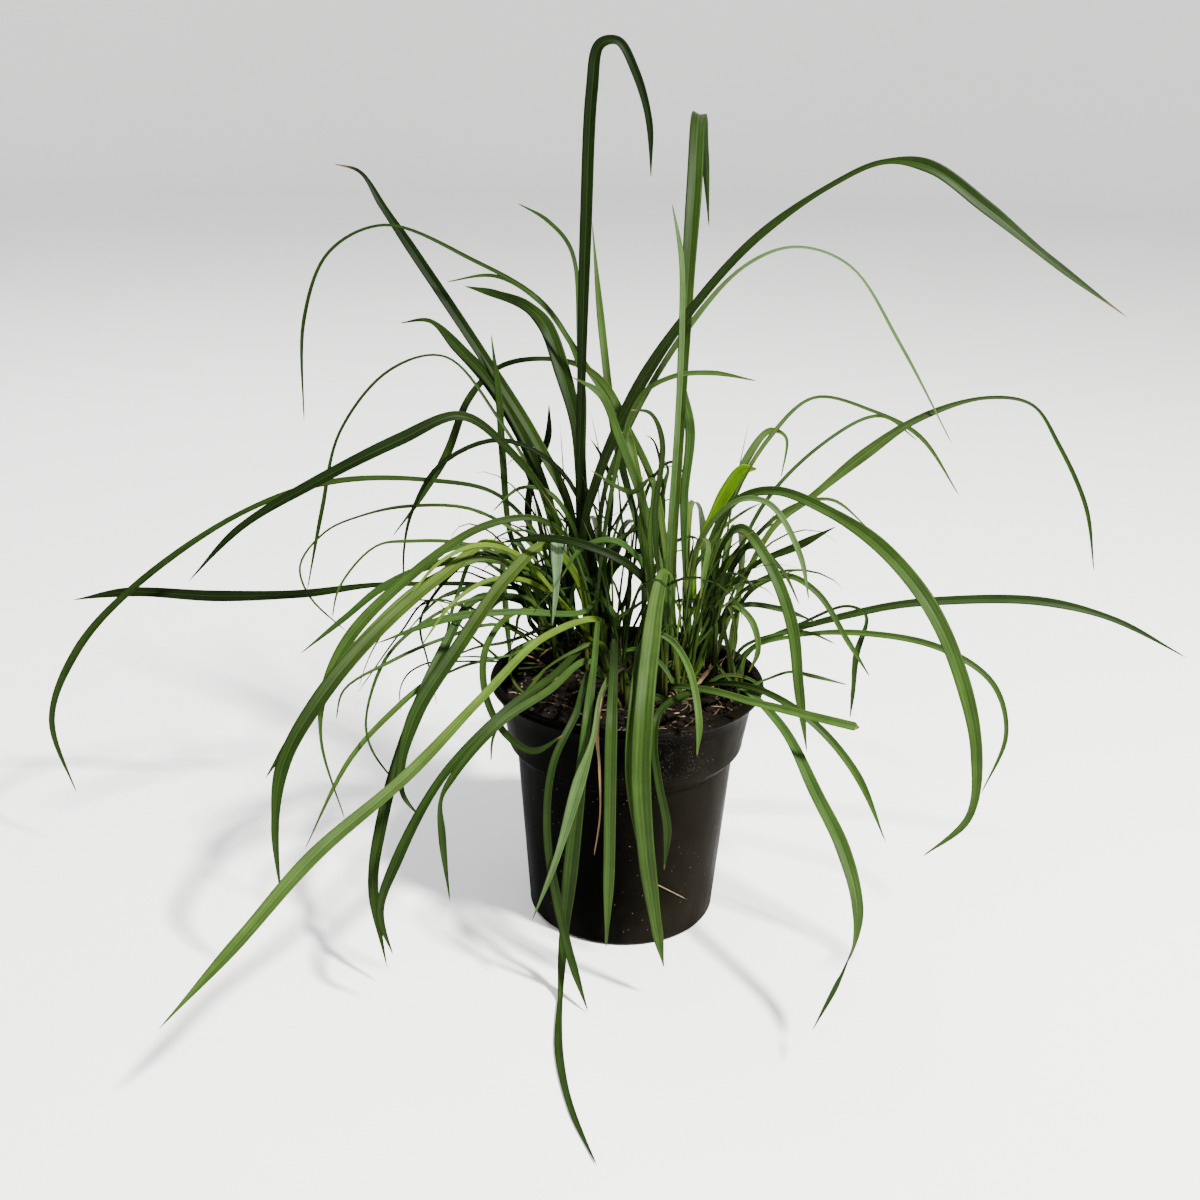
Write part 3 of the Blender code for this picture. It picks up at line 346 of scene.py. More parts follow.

# A route point: pixels across and down in the picture, millimetres behind the pot's axis
# (FLOOR for a point that lies on the floor), leaf width in millimetres, and where the leaf is
# twisted, by how many degrees. A route starts at a root in the clump that is named first.
# Between them: the leaf's slot, and its tone at the root end and at the far end; a tone paints in
# how lit or shaded that end of the leaf is, as well as its own green.
LEAVES = {
    "leaf_tall_left": ("middle", "dark", "dark", "dark", ((579, 520, 66, 5), (581, 400, 70, 7),
        (586, 220, 80, 9.5), (592, 90, 92, 9.6), (600, 45, 98, 9), (618, 41, 98, 6.8, -15),
        (635, 70, 92, 6.8, -20), (649, 120, 86, 5.4, -10), (651, 178, 82, 1))),
    "leaf_tall_right": ("right", "light", "mid", "deep", ((673, 560, 16, 6), (680, 420, 34, 8),
        (687, 290, 62, 10.5), (694, 190, 96, 12.4), (698, 120, 138, 12), (701, 117, 168, 10),
        (705, 155, 206, 7, -10), (709, 228, 232, 1, -10))),
    "leaf_tall_right_slim": ("right", "bright", "mid", "pale", ((668, 560, -8, 4), (677, 430, 0, 4.5),
        (682, 320, 8, 4.5), (681, 255, 12, 4), (672, 203, 14, 1))),
    "leaf_right_high_arch": ("middle", "dark", "deep", "deep", ((583, 540, 62, 6), (597, 480, 58, 8, -5),
        (640, 385, 44, 10, -5), (700, 299, 24, 7, -10), (758, 237, 8, 6.6, -10), (830, 186, -10, 4.2, -15),
        (884, 162, -22, 4, -20), (930, 167, -32, 9.4, -20), (985, 207, -44, 10.2, -10),
        (1050, 260, -58, 6.4), (1128, 318, -72, 1))),
    "leaf_right_high_thin": ("middle", "mid", "deep", "pale", ((600, 520, 48, 4), (625, 436, 58, 4.8),
        (688, 328, 76, 5, -5), (745, 266, 90, 3, -5), (795, 247, 98, 2.3, -10), (850, 266, 104, 2.3, -10),
        (900, 344, 108, 3), (953, 446, 108, 1))),
    "leaf_upper_left_straight": ("left", "mid", "mid", "dark", ((572, 520, 74, 7), (538, 444, 88, 9),
        (480, 352, 118, 9.4), (414, 253, 156, 9), (383, 207, 177, 6.4), (360, 172, 188, 3.2),
        (334, 164, 196, 1))),
    "leaf_left_high_thin": ("middle", "mid", "mid", "deep", ((584, 470, 82, 4), (580, 370, 92, 4),
        (545, 305, 104, 3.6, 10), (471, 259, 122, 3.4, 20), (385, 225, 130, 2.4, 20),
        (329, 252, 128, 2.8, 10), (304, 320, 122, 3.4), (304, 422, 114, 1))),
    "leaf_left_mid": ("middle", "dark", "deep", "mid", ((574, 550, 46, 5), (538, 519, 34, 5, 20),
        (480, 528, 16, 6.5, 10), (405, 581, -12, 8.4), (352, 635, -38, 10), (326, 684, -56, 7, 20),
        (321, 740, -66, 2.6, 20), (345, 820, -76, 1, 20))),
    "leaf_left_broad": ("left", "dark", "deep", "dark", ((560, 530, 66, 5), (505, 446, 54, 6.5, 10),
        (460, 416, 42, 7.8, 10), (400, 440, 26, 10.5), (320, 480, 6, 9.5), (240, 528, -12, 6),
        (188, 582, -22, 1))),
    "leaf_left_far": ("left", "dark", "mid", "deep", ((548, 560, 70, 4), (500, 496, 76, 3.4, 20),
        (430, 480, 82, 4, 30), (330, 482, 84, 5, 20), (240, 514, 80, 5), (131, 590, 70, 6.8),
        (77, 651, 62, 7.6), (52, 720, 54, 5.8), (77, 794, 46, 1))),
    "leaf_left_level": ("left", "dark", "deep", "dark", ((545, 600, 84, 3.5), (395, 584, 102, 4, 20),
        (300, 594, 108, 7.4, 10), (215, 596, 110, 9.7, 10), (130, 592, 108, 8.2, 10), (72, 600, 104, 1))),
    "leaf_front_folded": ("front", "light", "mid", "pale", ((630, 676, -30, 3), (616, 669, -66, 3.4),
        (600, 696, -102, 3, 10), (593, 738, -124, 4, 10), (578, 786, -136, 9.5), (556, 860, -138, 5),
        (532, 921, -138, 1))),
    "leaf_front_left_long": ("middle", "bright", "fresh", "light", ((600, 621, 30, 5), (545, 637, -6, 6),
        (480, 700, -78, 7), (407, 776, -150, 9), (312, 858, -212, 10.5), (240, 940, -256, 9.2),
        (158, 1030, -290, 1))),
    "leaf_front_left_broad": ("left", "light", "fresh", "deep", ((536, 590, 60, 6), (492, 543, 38, 6, 10),
        (442, 576, 2, 9), (381, 628, -48, 11.3), (325, 692, -92, 12), (284, 762, -124, 10.7, 10),
        (275, 825, -140, 6, 20), (281, 898, -150, 1, 20))),
    "leaf_front_left_mid": ("middle", "light", "fresh", "deep", ((582, 590, 40, 6), (546, 546, 24, 8),
        (508, 577, -2, 10), (458, 648, -44, 10.8), (417, 712, -78, 11.5), (401, 765, -96, 7, 20),
        (403, 795, -102, 4, 20), (421, 818, -108, 1, 20))),
    "leaf_front_left_low": ("left", "mid", "mid", "deep", ((540, 612, 58, 5), (478, 598, 30, 6.5, 20),
        (440, 656, -18, 8), (404, 742, -70, 8.5), (382, 822, -108, 9.4), (373, 886, -128, 8, 10),
        (387, 968, -146, 1, 20))),
    "leaf_front_left_ribbed": ("front", "mid", "deep", "deep", ((598, 643, 2, 5), (552, 677, -62, 6),
        (500, 716, -108, 6.5), (441, 779, -142, 6.5), (398, 858, -160, 8.3), (380, 912, -166, 6, 10),
        (393, 955, -170, 1, 10))),
    "leaf_front_left_curl": ("front", "mid", "light", "deep", ((590, 662, -24, 5), (547, 692, -82, 6),
        (499, 724, -116, 6.5), (455, 774, -140, 5.5), (441, 799, -148, 3.2, 30), (442, 835, -150, 5.8, 10),
        (450, 902, -150, 1))),
    "leaf_front_right_small": ("edge", "mid", "deep", "deep", ((712, 690, -34, 4, -10),
        (692, 693, -58, 5, -20), (672, 701, -84, 5.5, -10), (657, 718, -112, 5.5), (654, 745, -121, 5.5),
        (659, 785, -124, 6), (667, 828, -124, 6.8), (664, 871, -122, 1))),
    "leaf_front_broad": ("right", "mid", "light", "mid", ((672, 604, 4, 5), (670, 579, -6, 6),
        (664, 573, -16, 8), (657, 598, -38, 11.5), (650, 650, -74, 14), (643, 722, -113, 14.6),
        (641, 780, -126, 14.4), (647, 860, -130, 12.6), (657, 930, -132, 8.5), (664, 968, -134, 1))),
    "leaf_front_pair": ("right", "mid", "deep", "mid", ((662, 628, -4, 6), (645, 642, -48, 7),
        (635, 692, -100, 7.5), (630, 770, -126, 7.5), (643, 873, -130, 1))),
    "leaf_front_centre": ("front", "light", "dark", "mid", ((616, 640, -14, 5), (613, 685, -86, 7),
        (611, 738, -120, 9), (609, 870, -126, 8.6), (606, 948, -124, 2))),
    "leaf_front_trailing": ("middle", "light", "mid", "deep", ((599, 622, 20, 4), (594, 664, -58, 5),
        (587, 722, -114, 7.4), (571, 865, -132, 11.4), (563, 945, -134, 7), (560, 1000, FLOOR, 4.2, 10),
        (559, 1052, FLOOR, 6.3), (571, 1108, FLOOR, 4.6), (597, 1166, FLOOR, 1))),
    "leaf_front_bowed": ("front", "mid", "deep", "deep", ((592, 672, -54, 5), (576, 714, -110, 5.5),
        (553, 764, -136, 5.5), (547, 832, -142, 5.8), (557, 900, -144, 7), (572, 962, -150, 6.5),
        (588, 1015, FLOOR, 1))),
    "leaf_right_bow": ("right", "light", "pale", "light", ((652, 636, -8, 4), (670, 640, -36, 5, -10),
        (690, 672, -84, 5.4), (699, 722, -116, 5.4), (697, 757, -120, 1))),
    "leaf_left_loop": ("left", "mid", "light", "deep", ((548, 614, 56, 3.5), (514, 613, 32, 4.5, 20),
        (486, 648, -16, 5.5, 10), (486, 696, -66, 5.5), (506, 734, -104, 5.5, -10),
        (534, 751, -124, 5, -20), (563, 735, -130, 1, -20))),
    "leaf_right_arch_broad": ("rear", "light", "mid", "mid", ((706, 560, 40, 5), (735, 502, 28, 6, -10),
        (775, 491, 8, 7.5, -15), (827, 511, -24, 8.6, -10), (881, 548, -64, 11.6), (929, 606, -100, 12.4),
        (960, 676, -124, 11.6), (976, 752, -140, 9), (968, 818, -148, 6, 10), (922, 857, -156, 1, 10))),
    "leaf_right_hanging": ("rear", "mid", "mid", "mid", ((714, 590, 48, 5), (722, 545, 38, 6),
        (742, 529, 22, 8.6, -15), (768, 562, -2, 9.4, -5), (791, 622, -24, 9.8), (799, 690, -38, 8.4),
        (807, 753, -48, 1))),
    "leaf_right_level": ("edge", "mid", "deep", "deep", ((745, 653, 36, 3.4), (870, 610, 34, 6.4, -10),
        (960, 600, 30, 7.4, -10), (1045, 602, 22, 7.4, -10), (1115, 620, 14, 5, -10),
        (1187, 658, 6, 1, -10))),
    "leaf_right_drooping": ("edge", "mid", "light", "mid", ((748, 652, 20, 3), (795, 636, 10, 3.4, -10),
        (860, 633, -6, 5, -10), (940, 648, -26, 5.4, -10), (992, 683, -42, 5), (1006, 734, -52, 3.8),
        (981, 794, -60, 1, 10))),
    "leaf_right_cut": ("right", "dark", "dark", "light", ((672, 686, -16, 4), (712, 691, -34, 5.5),
        (752, 702, -50, 6), (806, 715, -68, 6.6), (860, 728, -84, 6.8))),
    "leaf_lower_right_long": ("edge", "mid", "light", "mid", ((745, 690, -24, 5), (784, 730, -62, 7.4),
        (816, 794, -112, 10), (843, 850, -150, 10.6), (857, 908, -180, 9, 10), (852, 948, -198, 7.5, 60),
        (836, 984, -210, 7.5, 110), (812, 1031, -222, 1, 130))),
    "leaf_lower_right_arch": ("right", "mid", "dark", "mid", ((712, 684, -14, 4), (760, 690, -42, 5.4, -10),
        (812, 722, -66, 6.4), (856, 774, -84, 6.4), (886, 843, -96, 1))),
    "leaf_right_far": ("rear", "mid", "light", "deep", ((770, 532, 66, 5), (813, 496, 80, 6, -5),
        (864, 455, 96, 9.8, -5), (918, 419, 110, 6, -10), (985, 398, 118, 3.2, -15),
        (1032, 405, 120, 3, -10), (1058, 444, 118, 4.2), (1086, 508, 114, 4.2), (1094, 572, 108, 1))),
    "leaf_right_thin_crest": ("rear", "light", "light", "mid", ((708, 580, 70, 3), (733, 500, 94, 3.5),
        (770, 437, 122, 4, -5), (813, 398, 148, 2.8, -15), (870, 410, 168, 3.2, -10), (920, 437, 178, 4.8),
        (960, 497, 182, 1))),
    "leaf_short_bright": ("rear", "bright", "bright", "bright", ((696, 556, 24, 4), (711, 520, 16, 7),
        (727, 491, 8, 10.5), (742, 471, -2, 9.5), (757, 469, -12, 2, -10))),
    "leaf_right_curl": ("rear", "light", "mid", "light", ((706, 590, 78, 4), (722, 520, 100, 5),
        (748, 457, 126, 7), (769, 431, 144, 5.5, -10), (786, 438, 156, 3.4, -5), (781, 478, 160, 1, 10))),
    "leaf_right_light_arch": ("right", "light", "fresh", "pale", ((690, 570, 14, 4), (714, 520, 2, 4.5),
        (744, 499, -12, 4.5, -10), (772, 506, -26, 4.8, -5), (800, 555, -40, 4.6), (809, 600, -48, 1))),
    "leaf_right_low_arch": ("edge", "mid", "light", "mid", ((734, 620, 30, 3.5), (753, 589, 24, 4, -10),
        (788, 576, 10, 5, -10), (818, 594, -4, 5.4), (847, 640, -18, 4.6), (870, 677, -26, 1))),
    "leaf_right_drop": ("edge", "light", "pale", "light", ((724, 620, 14, 3.5), (733, 605, 8, 4.5, -10),
        (752, 622, -8, 5.6), (758, 650, -18, 4.6), (748, 674, -22, 1, 10))),
    "leaf_right_dark_tip": ("edge", "dark", "mid", "deep", ((757, 645, 50, 3), (800, 624, 42, 2.6, -10),
        (848, 606, 28, 2.4, -20), (866, 616, 18, 2.8), (856, 655, 10, 5.6, 10), (853, 690, 6, 4, 10),
        (850, 718, 2, 1, 10))),
    "leaf_upper_left_wide": ("left", "dark", "dark", "deep", ((560, 545, 84, 7), (528, 450, 104, 10.5),
        (492, 386, 124, 12), (459, 349, 146, 10.4), (430, 321, 164, 4, 10), (400, 323, 174, 1, 20))),
    "leaf_upper_left_bent": ("middle", "dark", "dark", "deep", ((583, 520, 70, 7), (577, 430, 84, 10),
        (561, 368, 102, 13.4), (546, 327, 118, 13), (526, 306, 134, 9.6, 10), (495, 294, 150, 7, 10),
        (464, 286, 160, 1, 10))),
    "leaf_middle_tip": ("right", "mid", "pale", "light", ((655, 600, 34, 4), (636, 520, 62, 5.5),
        (616, 440, 92, 6.8), (602, 330, 132, 6.6), (592, 221, 166, 1))),
    "leaf_middle_cross": ("right", "light", "light", "mid", ((668, 590, 24, 5), (655, 490, 52, 6),
        (628, 430, 82, 6.5), (585, 365, 112, 5.5), (541, 303, 140, 4, 10), (495, 276, 156, 3.2, 20),
        (446, 282, 164, 1, 20))),
    "leaf_middle_crest": ("right", "dark", "light", "deep", ((650, 590, 18, 6), (640, 490, 46, 7),
        (617, 405, 84, 6.5), (590, 371, 116, 5.5, 10), (548, 359, 144, 4, 15), (500, 367, 162, 4.8, 10),
        (469, 399, 166, 6.8), (447, 454, 158, 7.6), (424, 494, 148, 4), (392, 537, 136, 1))),
    "leaf_middle_light": ("right", "light", "pale", "mid", ((664, 600, -2, 5), (645, 510, 14, 6.5),
        (620, 440, 26, 7), (600, 394, 32, 6), (572, 377, 34, 1, 20))),
    "leaf_left_thin_arch": ("left", "mid", "mid", "deep", ((550, 515, 72, 3), (498, 418, 100, 2.8),
        (446, 357, 124, 2, 10), (390, 370, 138, 2.6, 10), (340, 432, 140, 2.8), (322, 510, 136, 3.8, 10),
        (307, 592, 128, 1, 10))),
    "leaf_middle_level": ("right", "dark", "dark", "dark", ((655, 598, 6, 5), (630, 566, -2, 7.2, 10),
        (585, 545, -2, 7, 20), (545, 538, 2, 6, 20), (496, 543, 6, 1, 20))),
}

# Stems: clump, then the top as a sight point (across, down, back). The leaves that are fused
# on are listed after it in the same form as above, without a clump.
STEMS = {
    "stem_left_front": ("left", (530, 560, 50), (
        ((490, 560, 34, 6, 10), (440, 563, 22, 6, 20), (385, 586, 8, 6.5, 10), (345, 618, -2, 5.2),
         (300, 654, -12, 1)),
        ((500, 600, 34, 4), (455, 658, 2, 4), (401, 704, -30, 5), (351, 758, -52, 4.2),
         (304, 851, -68, 1)))),
    "stem_left_back": ("left", (536, 580, 92), (
        ((512, 540, 88, 4.5), (503, 460, 96, 6), (499, 400, 104, 6), (491, 333, 112, 1)),
        ((528, 510, 98, 6), (536, 468, 104, 7), (548, 438, 108, 6), (549, 404, 110, 1)),
        ((520, 545, 130, 5), (504, 560, 186, 6), (506, 612, 226, 6), (515, 700, 246, 1)))),
    "stem_middle_left": ("middle", (577, 560, 66), (
        ((560, 545, 34, 8), (557, 537, 16, 10), (557, 552, 8, 10), (556, 590, 4, 5), (552, 628, 0, 1)),
        ((579, 460, 96, 4), (579, 340, 120, 4), (572, 252, 146, 3.6), (548, 221, 166, 3.5, 10),
         (517, 203, 184, 1, 10)),
        ((588, 520, 122, 5), (598, 532, 182, 7), (604, 596, 228, 6), (606, 690, 252, 1)))),
    "stem_middle_right": ("middle", (596, 590, 40), (
        ((580, 613, 14, 5), (510, 612, -14, 5.5, 10), (450, 618, -30, 6.5, 10), (375, 644, -46, 1)),
        ((610, 500, 40, 4), (640, 398, 26, 4.5), (672, 377, 16, 4, -10), (712, 373, 6, 4, -10),
         (757, 381, -4, 1, -10)),
        ((622, 530, 112, 5), (638, 528, 172, 7), (644, 584, 222, 6), (640, 690, 250, 1)))),
    "stem_front": ("front", (624, 664, -30), (
        ((604, 692, -96, 2.4), (597, 730, -119, 3.4), (599, 762, -123, 1.8), (600, 815, -124, 1.2),
         (594, 856, -124, 1)),
        ((640, 690, -60, 4), (668, 700, -72, 5), (695, 698, -76, 1)))),
    "stem_right_front": ("right", (662, 600, -4), (
        ((655, 520, -6, 4.5), (662, 440, -4, 4.5), (650, 413, -4, 3, 10), (630, 410, -4, 1, 10)),
        ((650, 540, 4, 4), (652, 480, 8, 4.5), (632, 492, 16, 4.5, 20), (590, 470, 24, 1, 20)))),
    "stem_right_back": ("right", (684, 580, 14), (
        ((684, 500, 20, 6.5), (690, 430, 30, 8), (683, 392, 40, 6.5), (678, 372, 48, 1)),
        ((700, 540, -10, 4), (708, 545, -26, 4.5, 30), (704, 572, -36, 4.5), (700, 600, -40, 1)),
        ((690, 510, 92, 5), (700, 512, 162, 7), (704, 570, 222, 6), (700, 690, 262, 1)))),
    "stem_rear": ("rear", (716, 575, 60), (
        ((745, 548, 52, 4), (790, 508, 40, 3.6, -10), (832, 500, 28, 2.8, -10), (868, 528, 16, 1)),
        ((750, 568, 56, 4.5), (800, 545, 50, 7, -10), (837, 526, 44, 1)),
        ((760, 510, 90, 3.6), (828, 440, 116, 3, -5), (880, 416, 134, 3, -10), (918, 441, 142, 1)),
        ((732, 530, 128, 5), (742, 545, 184, 6), (738, 604, 226, 6), (728, 700, 246, 1)))),
    "stem_edge": ("edge", (716, 622, 22), (
        ((740, 606, 36, 4.5, -10), (780, 609, 40, 5, -10), (816, 622, 42, 1, -10)),
        ((728, 607, 20, 3), (736, 634, 10, 3), (733, 661, 4, 1)),
        ((742, 688, -8, 2.4), (765, 680, -12, 2.2), (790, 672, -14, 2.4), (812, 676, -18, 3.6),
         (848, 685, -24, 1)))),
}

# Thin leaves and wisps that no solid carries, as route points after a clump and a tone.
WISPS = (
    ("left", "mid", ((545, 560, 60, 3), (480, 512, 70, 3), (410, 506, 90, 3, 20), (360, 516, 104, 2, 40),
        (325, 532, 112, 2, 40), (300, 566, 116, 2, 20), (310, 597, 116, 2), (347, 632, 114, 1))),
    ("left", "mid", ((540, 580, 60, 3), (470, 545, 50, 3, 10), (411, 541, 40, 3, 30), (376, 546, 32, 2, 40),
        (340, 586, 26, 2, 20), (332, 618, 24, 1))),
    ("left", "mid", ((530, 600, 40, 3), (470, 600, 20, 3), (420, 625, -6, 3), (385, 660, -30, 3),
        (366, 720, -50, 2), (372, 750, -58, 2), (400, 788, -66, 1))),
    ("middle", "dark", ((600, 560, 60, 4), (560, 470, 70, 4), (500, 440, 78, 4, 20), (440, 465, 78, 4, 20),
        (412, 512, 76, 3), (404, 550, 74, 2), (404, 590, 72, 1))),
    ("left", "light", ((500, 560, 30, 5), (430, 580, 0, 6, 10), (370, 632, -40, 7), (318, 695, -78, 7),
        (289, 742, -98, 6), (265, 779, -108, 1))),
    ("left", "mid", ((500, 625, 30, 3), (440, 640, 0, 3), (390, 662, -30, 3), (344, 690, -50, 2),
        (336, 720, -56, 1))),
    ("middle", "fresh", ((560, 600, 40, 3), (520, 556, 30, 4, 10), (480, 545, 14, 4, 20),
        (440, 562, -4, 3, 10), (404, 604, -24, 1))),
    ("middle", "fresh", ((568, 610, 30, 3), (530, 582, 20, 4, 10), (490, 580, 2, 4, 10), (452, 604, -20, 3),
        (420, 648, -44, 1))),
    ("left", "light", ((540, 590, 70, 3), (500, 550, 70, 4, 10), (462, 546, 66, 4, 20),
        (420, 566, 58, 3, 10), (380, 604, 46, 1))),
    ("middle", "mid", ((588, 580, 60, 3), (570, 520, 64, 4), (548, 492, 66, 4, 10), (520, 488, 66, 3, 30),
        (492, 512, 60, 1))),
    ("right", "mid", ((655, 590, 30, 3), (640, 530, 40, 4), (652, 480, 44, 3, 10), (672, 462, 44, 3, 20),
        (690, 482, 40, 1))),
    ("right", "mid", ((660, 610, 10, 4), (640, 560, 6, 5), (612, 540, 4, 5, 20), (582, 548, 2, 4, 20),
        (560, 580, -4, 1))),
    ("rear", "mid", ((712, 596, 40, 3), (728, 560, 34, 4), (756, 548, 22, 4, 20), (782, 570, 8, 3),
        (800, 606, -4, 1))),
    ("edge", "mid", ((740, 650, 20, 3), (770, 636, 18, 3, 20), (805, 632, 12, 3, 20), (836, 644, 4, 1))),
    ("front", "mid", ((618, 655, -12, 3), (640, 650, -20, 4, 10), (664, 668, -34, 4), (680, 700, -46, 1))),
    ("left", "mid", ((520, 700, -60, 3), (505, 716, -84, 3), (493, 738, -100, 2), (491, 762, -104, 1))),
)

# Thin leaves of the crowded middle, by clump: tone, width, then the distance behind the pot's
# axis at the root end and at the tip, in millimetres, then picture points from root to tip.
TUFTS = {
    "left": (
        ("deep", 3.4, 62, 54, ((541, 612), (539, 592), (533, 570), (526, 550))),
        ("dark", 3.2, 62, 58, ((529, 612), (526, 594), (527, 580), (522, 566))),
        ("fresh", 1.8, 60, 50, ((530, 625), (527, 608), (520, 590), (512, 572))),
        ("dark", 3.2, 60, 40, ((531, 622), (523, 605), (512, 597), (498, 594))),
        ("mid", 4.2, 60, 40, ((536, 616), (520, 592), (500, 571), (476, 557))),
        ("dark", 2.2, 62, 44, ((534, 610), (524, 580), (507, 564), (491, 557), (476, 554))),
        ("deep", 2.2, 58, 30, ((538, 612), (520, 590), (498, 578), (479, 569), (466, 565), (452, 566))),
        ("deep", 2.2, 56, 20, ((540, 612), (520, 592), (494, 582), (480, 577), (466, 572), (440, 574))),
        ("mid", 3.4, 60, 10, ((560, 604), (535, 584), (507, 580), (485, 583), (453, 592), (437, 600),
            (421, 616), (402, 637))),
        ("dark", 2.2, 60, 20, ((545, 606), (520, 586), (490, 583), (453, 594), (432, 601), (407, 612))),
        ("dark", 3.2, 62, 10, ((540, 600), (512, 566), (490, 554), (474, 556), (460, 567), (443, 584),
            (429, 603), (421, 619), (421, 635), (427, 658), (433, 685), (437, 706))),
        ("deep", 2.4, 40, 0, ((517, 674), (505, 664), (485, 647), (470, 635), (451, 616), (438, 602))),
        ("deep", 1.6, 40, 10, ((512, 668), (500, 660), (481, 657), (460, 657), (446, 660))),
        ("light", 3.0, 44, 0, ((535, 640), (512, 655), (492, 659), (464, 666), (441, 677), (430, 686))),
        ("deep", 3.2, 60, 20, ((562, 622), (539, 630), (507, 642), (475, 648), (446, 660))),
        ("mid", 3.0, 62, 60, ((546, 613), (530, 609), (519, 616), (516, 632), (509, 651))),
        ("dark", 2.4, 66, 70, ((556, 590), (551, 560), (545, 530), (537, 503), (528, 482))),
        ("dark", 1.8, 20, -30, ((430, 600), (402, 631), (389, 648), (368, 678), (358, 692))),
        ("mid", 1.4, 10, -20, ((420, 600), (392, 622), (376, 644), (366, 665), (359, 686))),
        ("deep", 1.6, 10, -10, ((440, 662), (425, 664), (408, 674), (400, 690), (401, 712))),
        ("mid", 2.6, 20, -20, ((515, 650), (509, 666), (514, 682), (524, 693), (537, 699))),
    ),
    "middle": (
        ("light", 4.2, 50, 20, ((536, 588), (512, 556), (494, 543), (480, 543), (468, 565), (460, 588),
            (452, 611), (446, 637), (441, 652))),
        ("dark", 2.4, 60, 60, ((574, 580), (560, 553), (538, 538), (512, 525), (474, 512))),
        ("dark", 2.6, 56, 50, ((575, 612), (570, 580), (552, 558), (533, 565), (523, 575))),
        ("dark", 2.2, 56, 50, ((577, 616), (566, 590), (553, 569), (532, 566))),
        ("mid", 2.6, 54, 44, ((576, 626), (560, 608), (545, 592), (528, 584), (512, 580))),
        ("dark", 2.2, 52, 60, ((600, 590), (604, 545), (617, 520), (635, 491), (649, 479), (663, 468),
            (686, 466))),
        ("deep", 2.4, 50, 60, ((650, 590), (664, 520), (662, 480), (658, 452), (653, 440), (646, 435))),
        ("dark", 3.2, 56, 60, ((604, 580), (612, 490), (606, 465), (600, 453), (590, 438))),
        ("dark", 2.0, 54, 60, ((628, 590), (636, 520), (630, 496), (615, 486), (598, 485))),
        ("mid", 2.4, 56, 70, ((604, 600), (602, 552), (598, 520), (590, 496), (580, 470))),
        ("dark", 2.4, 54, 62, ((650, 592), (638, 560), (621, 538), (597, 509), (584, 488))),
        ("deep", 2.4, 54, 60, ((630, 600), (627, 552), (622, 520), (619, 489), (616, 462))),
        ("mid", 4.0, 54, 50, ((600, 590), (606, 552), (621, 538), (640, 527), (662, 519))),
        ("mid", 4.4, 50, 62, ((660, 600), (660, 552), (661, 508), (665, 482), (668, 470), (664, 459))),
        ("mid", 5.0, 50, 40, ((617, 622), (602, 600), (591, 582), (581, 579), (573, 592), (571, 616),
            (577, 641))),
        ("mid", 3.8, 46, 30, ((606, 628), (620, 617), (638, 605), (657, 589))),
        ("dark", 6.0, 60, 40, ((606, 596), (612, 572), (624, 560), (636, 553), (652, 549), (672, 543),
            (692, 537), (704, 544))),
    ),
    "right": (
        ("dark", 4.6, 12, 10, ((706, 640), (714, 612), (704, 603), (684, 600), (665, 604))),
        ("fresh", 2.4, 10, 24, ((697, 672), (703, 640), (712, 612), (724, 596), (737, 573), (750, 556))),
        ("light", 2.2, 10, 20, ((700, 668), (708, 638), (718, 610), (728, 588), (738, 566))),
        ("fresh", 2.0, 14, 40, ((690, 660), (689, 610), (688, 560), (689, 520), (687, 478))),
        ("mid", 3.6, 14, 30, ((690, 600), (693, 571), (708, 548), (722, 529), (747, 510), (762, 503))),
        ("light", 2.8, 14, 30, ((700, 600), (708, 575), (720, 543), (737, 520))),
        ("deep", 3.4, 14, 26, ((714, 620), (720, 589), (728, 563), (740, 546), (760, 524))),
        ("mid", 2.4, 12, 20, ((716, 622), (722, 599), (735, 576), (758, 560))),
        ("dark", 5.0, 14, 34, ((712, 622), (722, 590), (738, 558), (756, 536), (775, 514))),
        ("pale", 2.0, 14, 10, ((720, 610), (732, 600), (750, 588), (780, 575), (808, 568))),
        ("mid", 2.4, 12, 6, ((716, 606), (740, 585), (760, 580), (782, 578))),
        ("dark", 2.4, 20, 20, ((682, 640), (684, 600), (690, 560), (692, 538), (682, 537))),
        ("light", 2.2, 14, 16, ((676, 680), (672, 640), (668, 600), (666, 560))),
        ("light", 2.0, 14, 16, ((684, 676), (682, 640), (679, 604), (676, 566))),
        ("fresh", 1.8, 10, 12, ((692, 678), (694, 640), (700, 604), (708, 566))),
        ("mid", 1.8, 14, 20, ((680, 690), (676, 650), (680, 610), (672, 560), (668, 520))),
        ("light", 3.2, -6, -20, ((703, 688), (722, 676), (744, 677), (761, 686), (782, 703))),
    ),
    "front": (
        ("mid", 3.2, -10, -50, ((606, 648), (595, 643), (575, 651), (555, 662), (531, 681))),
    ),
}


def sight_point(across, down, back):
    """The place that is seen at a picture point, at a distance behind the pot's axis."""
    right, upward, forward = view_axes()
    ray = forward + right * ((across - PICTURE_MIDDLE) / FOCAL_PIXELS)
    ray = ray - upward * ((down - PICTURE_MIDDLE) / FOCAL_PIXELS)
    if back is FLOOR:
        return VIEWER + ray * ((LYING_HEIGHT - VIEWER.z) / ray.z)
    return VIEWER + ray * ((back * MM - VIEWER.y) / ray.y)


def view_axes():
    """The picture's right, its up and the direction looked along."""
    forward = Vector((0, math.cos(VIEW_DROP), -math.sin(VIEW_DROP)))
    level_up = Vector((0, math.sin(VIEW_DROP), math.cos(VIEW_DROP)))
    level_right = Vector((1, 0, 0))
    right = level_right * math.cos(VIEW_ROLL) + level_up * math.sin(VIEW_ROLL)
    upward = level_up * math.cos(VIEW_ROLL) - level_right * math.sin(VIEW_ROLL)
    return right, upward, forward


